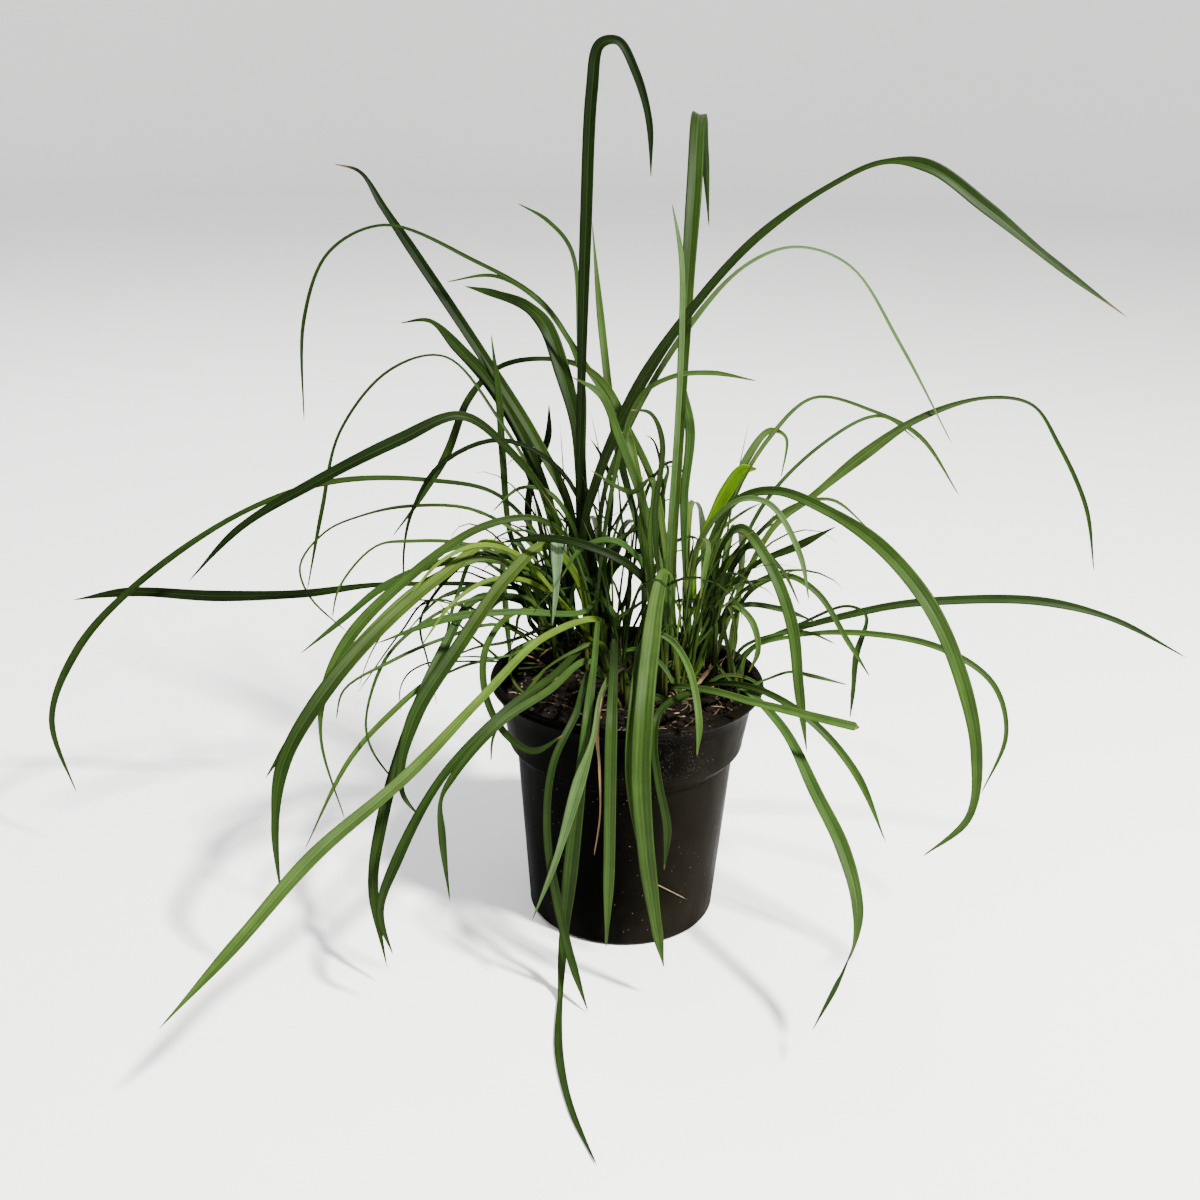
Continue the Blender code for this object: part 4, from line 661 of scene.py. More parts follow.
def soil_height(x, y):
    """The top of the soil as the solid has it."""
    height = SOIL_LEVEL
    for size, across, back, phase in SOIL_WAVES:
        height += size * MM * math.sin(across * x + back * y + phase)
    return height


def smooth_route(points, widths, twists, steps, first_steps):
    """Samples a curve through the points, with width, twist and place in the list along it."""
    nodes = [np.array(p, dtype=float) for p in points]
    start = (nodes[1] - nodes[0]) * np.array((ROOT_LEAN, ROOT_LEAN, 1.0))
    before = nodes[0] - END_REACH * start
    beyond = nodes[-1] + END_REACH * (nodes[-1] - nodes[-2])
    chain = [before] + nodes + [beyond]
    places = []
    wide = []
    turn = []
    at = []
    for span in range(len(nodes) - 1):
        a, b, c, d = chain[span:span + 4]
        t0 = 0.0
        t1 = t0 + math.sqrt(np.linalg.norm(b - a))
        t2 = t1 + math.sqrt(np.linalg.norm(c - b))
        t3 = t2 + math.sqrt(np.linalg.norm(d - c))
        count = steps if span else first_steps
        last = span == len(nodes) - 2
        for step in range(count + 1 if last else count):
            share = step / count
            at.append(span + share)
            t = t1 + share * (t2 - t1)
            ab = a * (t1 - t) / (t1 - t0) + b * (t - t0) / (t1 - t0)
            bc = b * (t2 - t) / (t2 - t1) + c * (t - t1) / (t2 - t1)
            cd = c * (t3 - t) / (t3 - t2) + d * (t - t2) / (t3 - t2)
            abc = ab * (t2 - t) / (t2 - t0) + bc * (t - t0) / (t2 - t0)
            bcd = bc * (t3 - t) / (t3 - t1) + cd * (t - t1) / (t3 - t1)
            places.append(abc * (t2 - t) / (t2 - t1) + bcd * (t - t1) / (t2 - t1))
            ease = share * share * (3 - 2 * share)
            wide.append(widths[span] + ease * (widths[span + 1] - widths[span]))
            turn.append(twists[span] + ease * (twists[span + 1] - twists[span]))
    for place in places:
        place[2] = max(place[2], LYING_HEIGHT)
    return [Vector(p) for p in places], wide, turn, at


def aheads_of(places):
    """The direction of travel at every sample."""
    last = len(places) - 1
    return [(places[min(n + 1, last)] - places[max(n - 1, 0)]).normalized() for n in range(last + 1)]


def route_frames(places, turns):
    """A direction across the leaf and one out of its upper face, at every sample.

    They are settled first where the leaf turns its face up most clearly, and then carried
    both ways along it, so that the leaf never flips over between two samples.
    """
    facing = Vector((0, -math.cos(FACING_ANGLE), math.sin(FACING_ANGLE)))
    aheads = aheads_of(places)
    sides = [ahead.cross(facing) for ahead in aheads]
    clearest = max(range(len(sides)), key=lambda number: sides[number].length)
    sides[clearest].normalize()
    for numbers in (range(clearest + 1, len(sides)), range(clearest - 1, -1, -1)):
        held = sides[clearest]
        for number in numbers:
            side = sides[number]
            if side.dot(held) < 0:
                side = -side
            side = side + (held - aheads[number] * held.dot(aheads[number])) * STEADINESS
            side.normalize()
            sides[number] = side
            held = side
    frames = []
    for ahead, side, turn in zip(aheads, sides, turns):
        out = side.cross(ahead)
        angle = math.radians(turn)
        across = side * math.cos(angle) + out * math.sin(angle)
        outward = out * math.cos(angle) - side * math.sin(angle)
        frames.append((across, outward))
    return frames


def fine_route(points, widths, twists, fineness, first_steps):
    """Fine samples of a route, turned as the coarse samples of its solid are."""
    rough, _, rough_turns, rough_at = smooth_route(points, widths, twists, STEPS_PER_SPAN, first_steps)
    rough_across = np.array([tuple(across) for across, _ in route_frames(rough, rough_turns)])
    places, wide, _, at = smooth_route(points, widths, twists, fineness, fineness)
    blended = np.column_stack([np.interp(at, rough_at, rough_across[:, axis]) for axis in range(3)])
    frames = []
    for ahead, row in zip(aheads_of(places), blended):
        across = Vector(row)
        across = (across - ahead * across.dot(ahead)).normalized()
        frames.append((across, across.cross(ahead)))
    return places, wide, frames


def circled(radius, angle, x=0.0, y=0.0):
    """The place on the floor plan at a distance and an angle from a centre."""
    return x + radius * math.cos(angle), y + radius * math.sin(angle)


def clump_slots(name):
    """Root places in a clump, in a sunflower pattern from its centre."""
    x, y = (part * MM for part in CLUMPS[name])
    golden = math.pi * (3 - math.sqrt(5))
    return [circled(ROOT_SPACING * math.sqrt(number), number * golden, x, y)
            for number in range(SLOTS_PER_CLUMP)]


def shifted(point, shift):
    """The point moved away from the viewer along its sight line."""
    away = point - VIEWER
    away.normalize()
    moved = point + away * (shift / away.y)
    moved.z = max(moved.z, LYING_HEIGHT)
    return moved


def laid(node, clump, last):
    """The root and the shift of a leaf or stem, read from where its solid stands."""
    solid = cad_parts[node]
    corners = [solid.matrix_world @ vertex.co for vertex in solid.data.vertices]
    roots = []
    for x, y in clump_slots(clump):
        root = Vector((x, y, soil_height(x, y) + ROOT_LIFT))
        ring = [c for c in corners if abs(c.z - root.z) < RING_LEVEL and (c - root).length < RING_REACH]
        if len(ring) >= RING_SIZE:
            roots.append(((sum(ring, Vector()) / len(ring) - root).length, root))
    tip = sight_point(*last[:3])

    def miss(shift):
        moved = shifted(tip, shift)
        return min((corner - moved).length for corner in corners)

    shifts = [number * SHIFT_STEP for number in range(1 - SHIFT_TRIES, SHIFT_TRIES)]
    return min(roots, key=lambda entry: entry[0])[1], min(shifts, key=miss)


class Build:
    """Points, faces, colours and leaf coordinates of one joined piece."""

    def __init__(self):
        self.points = []
        self.faces = []
        self.colours = []
        self.spots = []

    def add(self, points, faces, colours, spots=None):
        start = len(self.points)
        self.points.extend(points)
        self.faces.extend(tuple(start + corner for corner in face) for face in faces)
        self.colours.extend(colours)
        self.spots.extend(spots or [MIDRIB] * len(points))

    def finish(self, name, surface, slot):
        mesh = bpy.data.meshes.new(name)
        mesh.from_pydata([tuple(p) for p in self.points], [], self.faces)
        mesh.update()
        tint = mesh.color_attributes.new("tint", "FLOAT_COLOR", "POINT")
        tint.data.foreach_set("color", np.array([(*c, 1.0) for c in self.colours], "f").ravel())
        layer = mesh.uv_layers.new(name="blade")
        corners = np.empty(len(mesh.loops), dtype=np.int32)
        mesh.loops.foreach_get("vertex_index", corners)
        spots = np.array(self.spots, "f")[corners]
        starts = np.empty(len(mesh.polygons), dtype=np.int32)
        mesh.polygons.foreach_get("loop_start", starts)
        sizes = np.diff(np.append(starts, len(corners)))
        widest = np.repeat(np.maximum.reduceat(spots[:, 0], starts), sizes)
        # Where a face of the underside meets the left edge, the edge reads once round, not nought.
        spots[:, 0] += np.where((widest > UNDER_FACE) & (spots[:, 0] < LEFT_EDGE), ONCE_ROUND, 0.0)
        layer.data.foreach_set("uv", spots.ravel())
        mesh.materials.append(surface)
        smooth(mesh)
        return place_piece(name, mesh)


def smooth(mesh):
    mesh.polygons.foreach_set("use_smooth", np.ones(len(mesh.polygons), dtype=bool))


def linked(name, data):
    made = bpy.data.objects.new(name, data)
    bpy.context.scene.collection.objects.link(made)
    return made


def place_piece(name, mesh):
    made = linked(name, mesh)
    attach(made, "root")
    return made


def mixed(first, second, share):
    share = min(1.0, max(0.0, share))
    return tuple(a + (b - a) * share for a, b in zip(first, second))


def eased(low, high, value):
    share = min(1.0, max(0.0, (value - low) / (high - low)))
    return share * share * (3 - 2 * share)


def ring_faces(rings, size):
    """Quads between rings of points, facing outwards."""
    faces = []
    for ring in range(rings - 1):
        for corner in range(size):
            low = ring * size + corner
            after = ring * size + (corner + 1) % size
            faces.append((low, low + size, after + size, after))
    return faces


def turned(profile, sides):
    """The points of a profile turned about the pot's axis, ring after ring."""
    angles = [2 * math.pi * side / sides for side in range(sides)]
    return [(*circled(radius, angle), height) for radius, height in profile for angle in angles]


def close_ends(points, faces, rings, sides, first_height, last_height):
    """Closes the first and the last ring, each round a point on the axis."""
    middle = len(points)
    points += [(0, 0, first_height), (0, 0, last_height)]
    last = (rings - 1) * sides
    for side in range(sides):
        after = (side + 1) % sides
        faces.append((middle, side, after))
        faces.append((middle + 1, last + after, last + side))


def cross_section(halves):
    """Shares across a leaf from edge to edge over its face, then back under it."""
    shares = [number / halves for number in range(-halves, halves + 1)]
    return [(share, True) for share in shares] + [(share, False) for share in shares[-2:0:-1]]


def blade_colour(tone, end_tone, sheath, dry, phase, here, length):
    """The colour of a leaf at a distance from its foot."""
    colour = mixed(tone, end_tone, eased(*FAR_TONE_RUN, here / length)) if end_tone else tone
    if sheath:
        start, end = SHEATH_TONE_RUN
        colour = mixed(SHEATH_TONE, colour, eased(start * sheath, end * sheath, here))
        colour = mixed(FOOT_TONE, colour, eased(0.0, FOOT_REACH, here))
    patch = 1 + PATCH * math.sin(here / PATCH_LENGTH + 2 * phase)
    colour = tuple(part * patch for part in colour)
    return mixed(DRY_TONE, colour, eased(DRY_RUN[0] * dry, DRY_RUN[1] * dry, length - here))


def blade(build, route, tone, rng, halves=1, sheath=0.0, sheath_radius=0.0, dry=DRY_TIP * MM, end_tone=None):
    """A closed leaf with a keel under its midrib. It can grow out of a round sheath."""
    places, widths, frames = route
    run = [0.0]
    for before, after in zip(places, places[1:]):
        run.append(run[-1] + (after - before).length)
    length = run[-1]
    section = cross_section(halves)
    size = len(section)
    phase = rng.uniform(0, FULL_TURN)
    shade = rng.uniform(*SHADES)
    warm = rng.uniform(-WARMTH, WARMTH)
    lean = rng.uniform(-LEAN, LEAN)
    tone = (tone[0] * shade * (1 + warm), tone[1] * shade, tone[2] * shade * (1 - warm))
    points = []
    colours = []
    spots = []
    for place, width, (across, outward), here in zip(places[:-1], widths, frames, run):
        roundness = 1 - eased(SHEATH_OPENS * sheath, sheath, here) if sheath else 0.0
        radius = sheath_radius * (SHEATH_TAPER[0] - SHEATH_TAPER[1] * here / sheath) if sheath else 0.0
        fold = FOLD * (FOLD_AT_TIP + FOLD_GAINED * eased(*FOLD_RUN, (length - here) / length)) + lean
        ripple = RIPPLE * width * math.sin(here / RIPPLE_LENGTH + phase)
        ripple *= eased(*RIPPLE_RUN, here / length)
        keel = KEEL * min(1.0, width / KEEL_WIDTH)
        skin = SKIN * min(1.0, width / KEEL_WIDTH)
        colours += [blade_colour(tone, end_tone, sheath, dry, phase, here, length)] * size
        for share, top in section:
            lift = fold * width * abs(share) ** FOLD_POWER + ripple * share
            if abs(share) == 1:
                depth = 0.0
            elif top:
                depth = skin * (1 if share else GROOVE_SHARE)
            else:
                depth = -skin - keel * max(0.0, 1 - KEEL_SLOPE * abs(share))
            flat = across * (0.5 * width * share) + outward * (lift + depth)
            angle = math.pi * (0.5 - 0.5 * share) * (1 if top else -1)
            full = across * (radius * math.cos(angle)) + outward * (radius * math.sin(angle))
            points.append(place + flat * (1 - roundness) + full * roundness)
            spots.append((0.5 + 0.5 * share if top else 1.5 - 0.5 * share, here))
    tip = len(points)
    points.append(places[-1])
    colours.append(DRY_TONE)
    spots.append((MIDRIB[0], length))
    rings = len(places) - 1
    faces = [tuple(range(size))] + ring_faces(rings, size)
    last = size * (rings - 1)
    for corner in range(size):
        faces.append((last + corner, tip, last + (corner + 1) % size))
    build.add(points, [tuple(reversed(face)) for face in faces], colours, spots)


def along(start, first_width, route, shift=0.0):
    """Places, widths and twists of a leaf from its start on through the points of its route."""
    places = [start] + [shifted(sight_point(*point[:3]), shift) for point in route]
    widths = [first_width] + [point[3] * MM for point in route]
    twists = [0.0] + [point[4] if len(point) > 4 else 0 for point in route]
    return places, widths, twists


def sink_root(places):
    """Lets the foot of a shoot stand a little in the soil."""
    places[0] = places[0] - Vector((0, 0, ROOT_LIFT + ROOT_DEPTH))


def make_leaves(surface):
    for number, (node, (clump, slot, near_tone, far_tone, route)) in enumerate(LEAVES.items()):
        rng = random.Random(LEAF_SEED + number)
        root, shift = laid(node, clump, route[-1])
        rough_line = along(root, ROOT_WIDTH, route, shift)
        sheath = min(SHEATH_REACH, SHEATH_SHARE * (rough_line[0][1] - root).length)
        fine = fine_route(*rough_line, FINENESS, 1)
        sink_root(fine[0])
        radius = min(SHEATH_MOST, SHEATH_LEAST + SHEATH_PER_WIDTH * max(fine[1]) / MM) * MM
        build = Build()
        blade(build, fine, LEAF_TONES[near_tone], rng, halves=4, sheath=sheath, sheath_radius=radius,
              dry=DRY_TIPS.get(node, DRY_TIP) * MM, end_tone=LEAF_TONES[far_tone])
        piece = build.finish(node.replace("leaf", "blade"), surface, "leaf_" + slot)
        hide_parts(node)


def stem_tube(build, line):
    """A round sheath with a closed foot and top, and a wrapped edge that winds along it."""
    points = []
    colours = []
    spots = []
    last = len(line) - 1
    run = 0.0
    for number, place in enumerate(line):
        share = number / last
        if number:
            run += (place - line[number - 1]).length
        radius = STEM_RADIUS + (STEM_TOP_RADIUS - STEM_RADIUS) * share
        radius *= 1 - STEM_NECK_SLOPE * max(0.0, share - STEM_NECK)
        colour = mixed(SHEATH_TONE, LEAF_TONES["mid"], eased(*STEM_GREEN_RUN, share))
        colour = mixed(FOOT_TONE, colour, eased(*STEM_FOOT_RUN, share))
        for side in range(STEM_FINE_SIDES):
            angle = 2 * math.pi * side / STEM_FINE_SIDES
            wrap = 1 + STEM_WRAP * math.cos(angle - STEM_WRAP_TURN * share)
            stripe = 1 + STEM_STRIPE_SHADE * math.cos(STEM_STRIPES * angle)
            points.append(place + Vector((*circled(radius * wrap, angle), 0)))
            colours.append(tuple(part * stripe for part in colour))
            spots.append((side / STEM_FINE_SIDES, run))
    faces = [tuple(reversed(face)) for face in ring_faces(len(line), STEM_FINE_SIDES)]
    faces.append(tuple(range(STEM_FINE_SIDES - 1, -1, -1)))
    faces.append(tuple(range(len(points) - STEM_FINE_SIDES, len(points))))
    build.add(points, faces, colours, spots)


def make_shoots(surface):
    for number, (node, (clump, top, routes)) in enumerate(STEMS.items()):
        rng = random.Random(STEM_SEED + number)
        root, shift = laid(node, clump, routes[0][-1])
        highest = shifted(sight_point(*top), shift)
        bow = Vector((highest.x - root.x, highest.y - root.y, 0)) * -STEM_BOW
        corners = [root, (root + highest) / 2 + bow, highest]
        coarse, line = (smooth_route(corners, [0] * 3, [0] * 3, steps, steps)[0]
                        for steps in (STEM_STEPS, STEM_FINE_STEPS))
        sink_root(line)
        build = Build()
        stem_tube(build, line)
        for order, route in enumerate(routes):
            start = coarse[len(coarse) - STEM_LEAF_STEP * (order + 1)]
            fine = fine_route(*along(start, STEM_LEAF_WIDTH, route, shift), FINENESS, STEPS_PER_SPAN)
            look = STEM_LOOKS.get((node, order), STEM_TONES[(number + order) % len(STEM_TONES)])
            tone = DRY_LEAF_TONE if (node, order) in DRY_LEAVES else LEAF_TONES[look]
            blade(build, fine, tone, rng, halves=3)
        piece = build.finish(node.replace("stem", "shoot"), surface, "stem_green")
        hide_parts(node)


def held_inside(x, y, rim):
    """The place itself, or the nearest one inside a rim round the pot's axis."""
    share = min(1.0, rim / max(math.hypot(x, y), MM))
    return x * share, y * share


def free_root(clump, rng):
    """A place in a clump, with the direction that points out of the plant there."""
    centre_x, centre_y = CLUMPS[clump]
    angle = rng.uniform(0, 2 * math.pi)
    x, y = circled(SHOOT_REACH * math.sqrt(rng.random()), angle, centre_x * MM, centre_y * MM)
    x, y = held_inside(x, y, COLLAR_FOOT_RADIUS - 2 * WALL)
    outwards = math.atan2(y - PLANT_MIDDLE[1], x - PLANT_MIDDLE[0])
    return Vector((x, y, soil_height(x, y) - ROOT_DEPTH)), outwards


def grow(root, heading, rise, length, droop, wander, late):
    """A free shoot: it sets out at an angle and droops more and more towards its tip."""
    places = [root.copy()]
    step = length / GROW_STEPS
    for number in range(GROW_STEPS):
        share = (number + 1) / GROW_STEPS
        pitch = math.radians(rise - droop * share ** late)
        turn = heading + math.radians(wander) * share
        ahead = Vector((math.cos(turn) * math.cos(pitch), math.sin(turn) * math.cos(pitch), math.sin(pitch)))
        places.append(places[-1] + ahead * step)
    return places


def free_blade(build, places, width, tone, rng, sheath):
    """A thin leaf along free places, full in its middle and twisted more towards its tip."""
    last = len(places) - 1
    widths = []
    for number in range(last + 1):
        share = number / last
        fullness = min(1.0, FREE_FOOT_WIDTH + FREE_WIDTH_GAIN * share)
        widths.append(width * fullness * (1 - share ** 3) ** 0.8 + LEAST_WIDTH)
    twist = rng.uniform(-FREE_TWIST, FREE_TWIST)
    frames = route_frames(places, [twist * number / last for number in range(last + 1)])
    blade(build, (places, widths, frames), tone, rng, sheath=sheath, sheath_radius=THIN_SHEATH_RADIUS,
          dry=rng.choice(FREE_DRY_TIPS) * MM)


def arching_shoot(builds, clump, rng):
    root, outwards = free_root(clump, rng)
    heading = outwards + math.radians(rng.gauss(0, SHOOT_SPREAD))
    length = rng.triangular(*SHOOT_LENGTHS) * MM
    droop = rng.triangular(*SHOOT_DROOPS)
    rise = rng.uniform(*SHOOT_RISES)
    wander = rng.uniform(-SHOOT_WANDER, SHOOT_WANDER)
    places = grow(root, heading, rise, length, droop, wander, rng.uniform(*SHOOT_LATENESS))
    tone = rng.choice(SHOOT_TONES)
    width = rng.triangular(*SHOOT_WIDTHS) * MM
    if max(place.y for place in places) < BACK_LIMIT:
        free_blade(builds[TONE_PIECES[tone]], places, width, LEAF_TONES[tone], rng, SHOOT_SHEATH)


def upright_shoot(builds, clump, rng):
    root, outwards = free_root(clump, rng)
    heading = outwards + math.radians(rng.gauss(0, UPRIGHT_SPREAD))
    length = rng.uniform(*UPRIGHT_LENGTHS) * MM
    rise = rng.uniform(*UPRIGHT_RISES)
    droop = rng.uniform(*UPRIGHT_DROOPS)
    wander = rng.uniform(-UPRIGHT_WANDER, UPRIGHT_WANDER)
    places = grow(root, heading, rise, length, droop, wander, UPRIGHT_LATENESS)
    tone = rng.choice(SHOOT_TONES)
    if clump in SUNLIT_CLUMPS:
        tone = SUNLIT_TONES[tone]
    width = rng.uniform(*UPRIGHT_WIDTHS) * MM
    free_blade(builds[TONE_PIECES[tone]], places, width, LEAF_TONES[tone], rng, UPRIGHT_SHEATH)


def wisp_blade(builds, wisp, rng):
    """A thin leaf along a route, from a root in its clump."""
    clump, tone, route = wisp
    root, _ = free_root(clump, rng)
    fine = fine_route(*along(root, WISP_ROOT_WIDTH, route), WISP_FINENESS, 1)
    blade(builds[TONE_PIECES[tone]], fine, LEAF_TONES[tone], rng, halves=2, sheath=THIN_SHEATH,
          sheath_radius=WISP_SHEATH_RADIUS)


def tuft_blade(builds, clump, tuft, rng):
    """A thin leaf that follows picture points, from a root in its clump."""
    tone, width, near, far, points = tuft
    root, _ = free_root(clump, rng)
    last = len(points) - 1
    places = [root]
    widths = [TUFT_ROOT_WIDTH]
    for number, (across, down) in enumerate(points):
        share = number / last
        places.append(sight_point(across, down, near + (far - near) * share))
        widths.append(max(TUFT_TIP_WIDTH, width * (1 - share ** 4)) * MM)
    twist = rng.uniform(-TUFT_TWIST, TUFT_TWIST)
    turns = [twist * number / last for number in range(last + 2)]
    fine = fine_route(places, widths, turns, TUFT_FINENESS, 1)
    blade(builds[TONE_PIECES[tone]], fine, LEAF_TONES[tone], rng, halves=2, sheath=THIN_SHEATH,
          sheath_radius=THIN_SHEATH_RADIUS, dry=TUFT_DRY_TIP)


def make_undergrowth(surface):
    """The crowd of thin leaves between the main ones, one joined piece for each group of tones."""
    rng = random.Random(UNDERGROWTH_SEED)
    builds = {piece: Build() for piece in TONE_PIECES.values()}
    for counts, shoot in ((SHOOT_COUNTS, arching_shoot), (UPRIGHT_COUNTS, upright_shoot)):
        for clump, count in counts.items():
            for _ in range(count):
                shoot(builds, clump, rng)
    for wisp in WISPS:
        wisp_blade(builds, wisp, rng)
    for clump, tufts in TUFTS.items():
        for tuft in tufts:
            tuft_blade(builds, clump, tuft, rng)
    for piece, build in builds.items():
        build.finish("undergrowth_" + piece, surface, "leaf_" + piece)


def make_husks(surface):
    """Dry papery sheaths that peel away from the feet of the shoots."""
    rng = random.Random(HUSK_SEED)
    build = Build()
    for clump in (clump for clump, count in HUSK_COUNTS.items() for _ in range(count)):
        root, outwards = free_root(clump, rng)
        heading = outwards + rng.uniform(-HUSK_TURN, HUSK_TURN)
        length = rng.triangular(*HUSK_LENGTHS) * MM
        rise = rng.uniform(*HUSK_RISES)
        droop = rng.uniform(*HUSK_DROOPS)
        wander = rng.uniform(-HUSK_WANDER, HUSK_WANDER)
        places = grow(root, heading, rise, length, droop, wander, HUSK_LATENESS)
        for place in places[2:]:
            place.z = max(place.z, soil_height(place.x, place.y) + 1 * MM)
        last = len(places) - 1
        width = rng.uniform(*HUSK_WIDTHS) * MM
        widths = [width * (1 - (number / last) ** 2) + HUSK_LEAST_WIDTH for number in range(last + 1)]
        turns = [rng.uniform(-HUSK_SHAKE, HUSK_SHAKE) + HUSK_TWIST * number / last
                 for number in range(last + 1)]
        tone = mixed(HUSK_TONE, DRY_TONE, rng.random())
        blade(build, (places, widths, route_frames(places, turns)), tone, rng, dry=HUSK_DRY_TIP)
    build.finish("dry_sheaths", surface, "stem_green")


def grainy(place, scale):
    return noise.noise(place * scale)


def fine_soil_height(x, y):
    """The solid's soil top with lumps and grains on it."""
    height = soil_height(x, y)
    for size, closeness in SOIL_LUMPS:
        height += size * MM * grainy(Vector((x, y, 0.31)), closeness)
    return height


def inner_profile(gap):
    """The pot's inside from the lip down to its floor, set in by a gap."""
    inset = WALL + gap
    return [
        (LIP_RADIUS - LIP_DEPTH - inset, POT_HEIGHT),
        (COLLAR_TOP_RADIUS - inset, POT_HEIGHT - LIP_DEPTH),
        (COLLAR_FOOT_RADIUS - inset, COLLAR_FOOT_HEIGHT + WALL),
        (WALL_TOP_RADIUS - inset, STEP_HEIGHT + WALL),
        (FOOT_RADIUS - inset, FOOT_ROUNDING + WALL),
        (FOOT_RADIUS - FOOT_ROUNDING - inset, WALL + gap),
    ]


def make_soil(surface):
    """The lumpy soil over the solid's waved top, paler in patches, down to the pot's floor."""
    rim, *sides = inner_profile(GAP)[1:]
    slope = (SOIL_LEVEL - sides[0][1]) / (rim[1] - sides[0][1])
    edge = sides[0][0] + slope * (rim[0] - sides[0][0]) - SOIL_EDGE_GAP
    points = []
    colours = []
    for ring in range(SOIL_RINGS):
        radius = edge * (ring + 1) / SOIL_RINGS
        sunk = SOIL_EDGE_DROP * eased(SOIL_EDGE_FROM * edge, edge, radius)
        for side in range(SOIL_SIDES):
            x, y = circled(radius, 2 * math.pi * side / SOIL_SIDES)
            points.append((x, y, fine_soil_height(x, y) - sunk))
            paleness = SOIL_PALENESS
            for strength, level, closeness in SOIL_PATCHES:
                paleness += strength * grainy(Vector((x, y, level)), closeness)
            colours.append(mixed(SOIL_TONE, SOIL_PALE_TONE, paleness))
    points += turned(sides, SOIL_SIDES)
    rings = SOIL_RINGS + len(sides)
    faces = ring_faces(rings, SOIL_SIDES)
    close_ends(points, faces, rings, SOIL_SIDES, fine_soil_height(0, 0), sides[-1][1])
    colours += [SOIL_TONE] * (len(points) - len(colours))
    build = Build()
    build.add(points, faces, colours)
    soil = build.finish("soil_bed", surface, "soil_mix")
    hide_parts("soil")


def lump(build, ball, centre, size, turn, tone, roughness, rng):
    """One closed grain: a ball stretched, turned and knocked out of round."""
    seed = Vector((rng.uniform(0, 50), rng.uniform(0, 50), rng.uniform(0, 50)))
    points = []
    for corner in ball[0]:
        out = 1 + roughness * grainy(corner * 1.3 + seed, 1)
        stretched = Vector((corner.x * size[0], corner.y * size[1], corner.z * size[2])) * out
        points.append(centre + turn @ stretched)
    shade = rng.uniform(*GRAIN_SHADES)
    build.add(points, ball[1], [tuple(part * shade for part in tone)] * len(points))


def ball_shape(detail):
    work = bmesh.new()
    bmesh.ops.create_icosphere(work, subdivisions=detail, radius=1.0)
    points = [vertex.co.copy() for vertex in work.verts]
    faces = [tuple(vertex.index for vertex in face.verts) for face in work.faces]
    work.free()
    return points, faces


def soil_place(rng, rim):
    radius = rim * math.sqrt(rng.random())
    x, y = circled(radius, rng.uniform(0, 2 * math.pi))
    return Vector((x, y, fine_soil_height(x, y)))


def make_crumbs(surface, rng):
    grain = ball_shape(1)
    stone = ball_shape(2)
    crumbs = Build()
    for _ in range(CRUMB_COUNT):
        size = rng.triangular(*CRUMB_SIZES) * MM
        centre = soil_place(rng, CRUMB_RIM) + Vector((0, 0, 0.2 * size))
        angle = rng.uniform(0, FULL_TURN)
        turn = Matrix.Rotation(angle, 3, (rng.random(), rng.random(), rng.random() + 0.01))
        shape = (size * rng.uniform(0.8, 1.5), size * rng.uniform(0.6, 1.1), size * rng.uniform(0.5, 0.9))
        tone = mixed(SOIL_TONE, SOIL_PALE_TONE, rng.random() ** 1.5)
        ball = stone if size > FINE_CRUMB else grain
        lump(crumbs, ball, centre, shape, turn, tone, CRUMB_ROUGHNESS, rng)
    crumbs.finish("soil_crumbs", surface, "soil_mix")


def make_chips(surface, rng):
    stone = ball_shape(2)
    chips = Build()
    for _ in range(CHIP_COUNT):
        size = rng.triangular(*CHIP_SIZES) * MM
        centre = soil_place(rng, CHIP_RIM) + Vector((0, 0, CHIP_LIFT))
        spin = Matrix.Rotation(rng.uniform(0, FULL_TURN), 3, "Z")
        tilt = Matrix.Rotation(rng.gauss(0, 0.35), 3, "X") @ Matrix.Rotation(rng.gauss(0, 0.3), 3, "Y")
        shape = (size, size * rng.uniform(0.22, 0.6), min(size, rng.uniform(0.4, 1.0) * MM))
        lump(chips, stone, centre, shape, spin @ tilt, rng.choice(CHIP_TONES), CHIP_ROUGHNESS, rng)
    chips.finish("bark_chips", surface, "soil_mix")


def fibre(build, places, width, tone, rng):
    frames = route_frames(places, [0.0] * len(places))
    blade(build, (places, [width] * len(places), frames), tone, rng, dry=FIBRE_DRY_TIP)


def make_fibres(surface, rng):
    """Loose fibres that arch a little over the soil, and the straw on the pot's wall."""
    fibres = Build()
    for _ in range(FIBRE_COUNT):
        start = soil_place(rng, FIBRE_RIM)
        length = rng.uniform(*FIBRE_LENGTHS) * MM
        heading = rng.uniform(0, FULL_TURN)
        bend = rng.uniform(-FIBRE_BEND, FIBRE_BEND)
        places = []
        for number in range(FIBRE_POINTS):
            share = number / (FIBRE_POINTS - 1)
            x, y = circled(length * share, heading + bend * share, start.x, start.y)
            x, y = held_inside(x, y, FIBRE_END_RIM)
            hump = FIBRE_HUMP * math.sin(math.pi * share) * rng.uniform(0.5, 1)
            places.append(Vector((x, y, fine_soil_height(x, y) + FIBRE_LIFT + hump)))
        width = rng.uniform(*FIBRE_WIDTHS) * MM
        fibre(fibres, places, width, mixed(HUSK_TONE, CHIP_TONES[1], rng.random()), rng)
    start, end = STRAW_ENDS
    straw = [on_wall(start + (end - start) * share) for share in STRAW_SHARES]
    fibre(fibres, straw, STRAW_WIDTH, HUSK_TONE, rng)
    fibres.finish("soil_fibres", surface, "soil_mix")


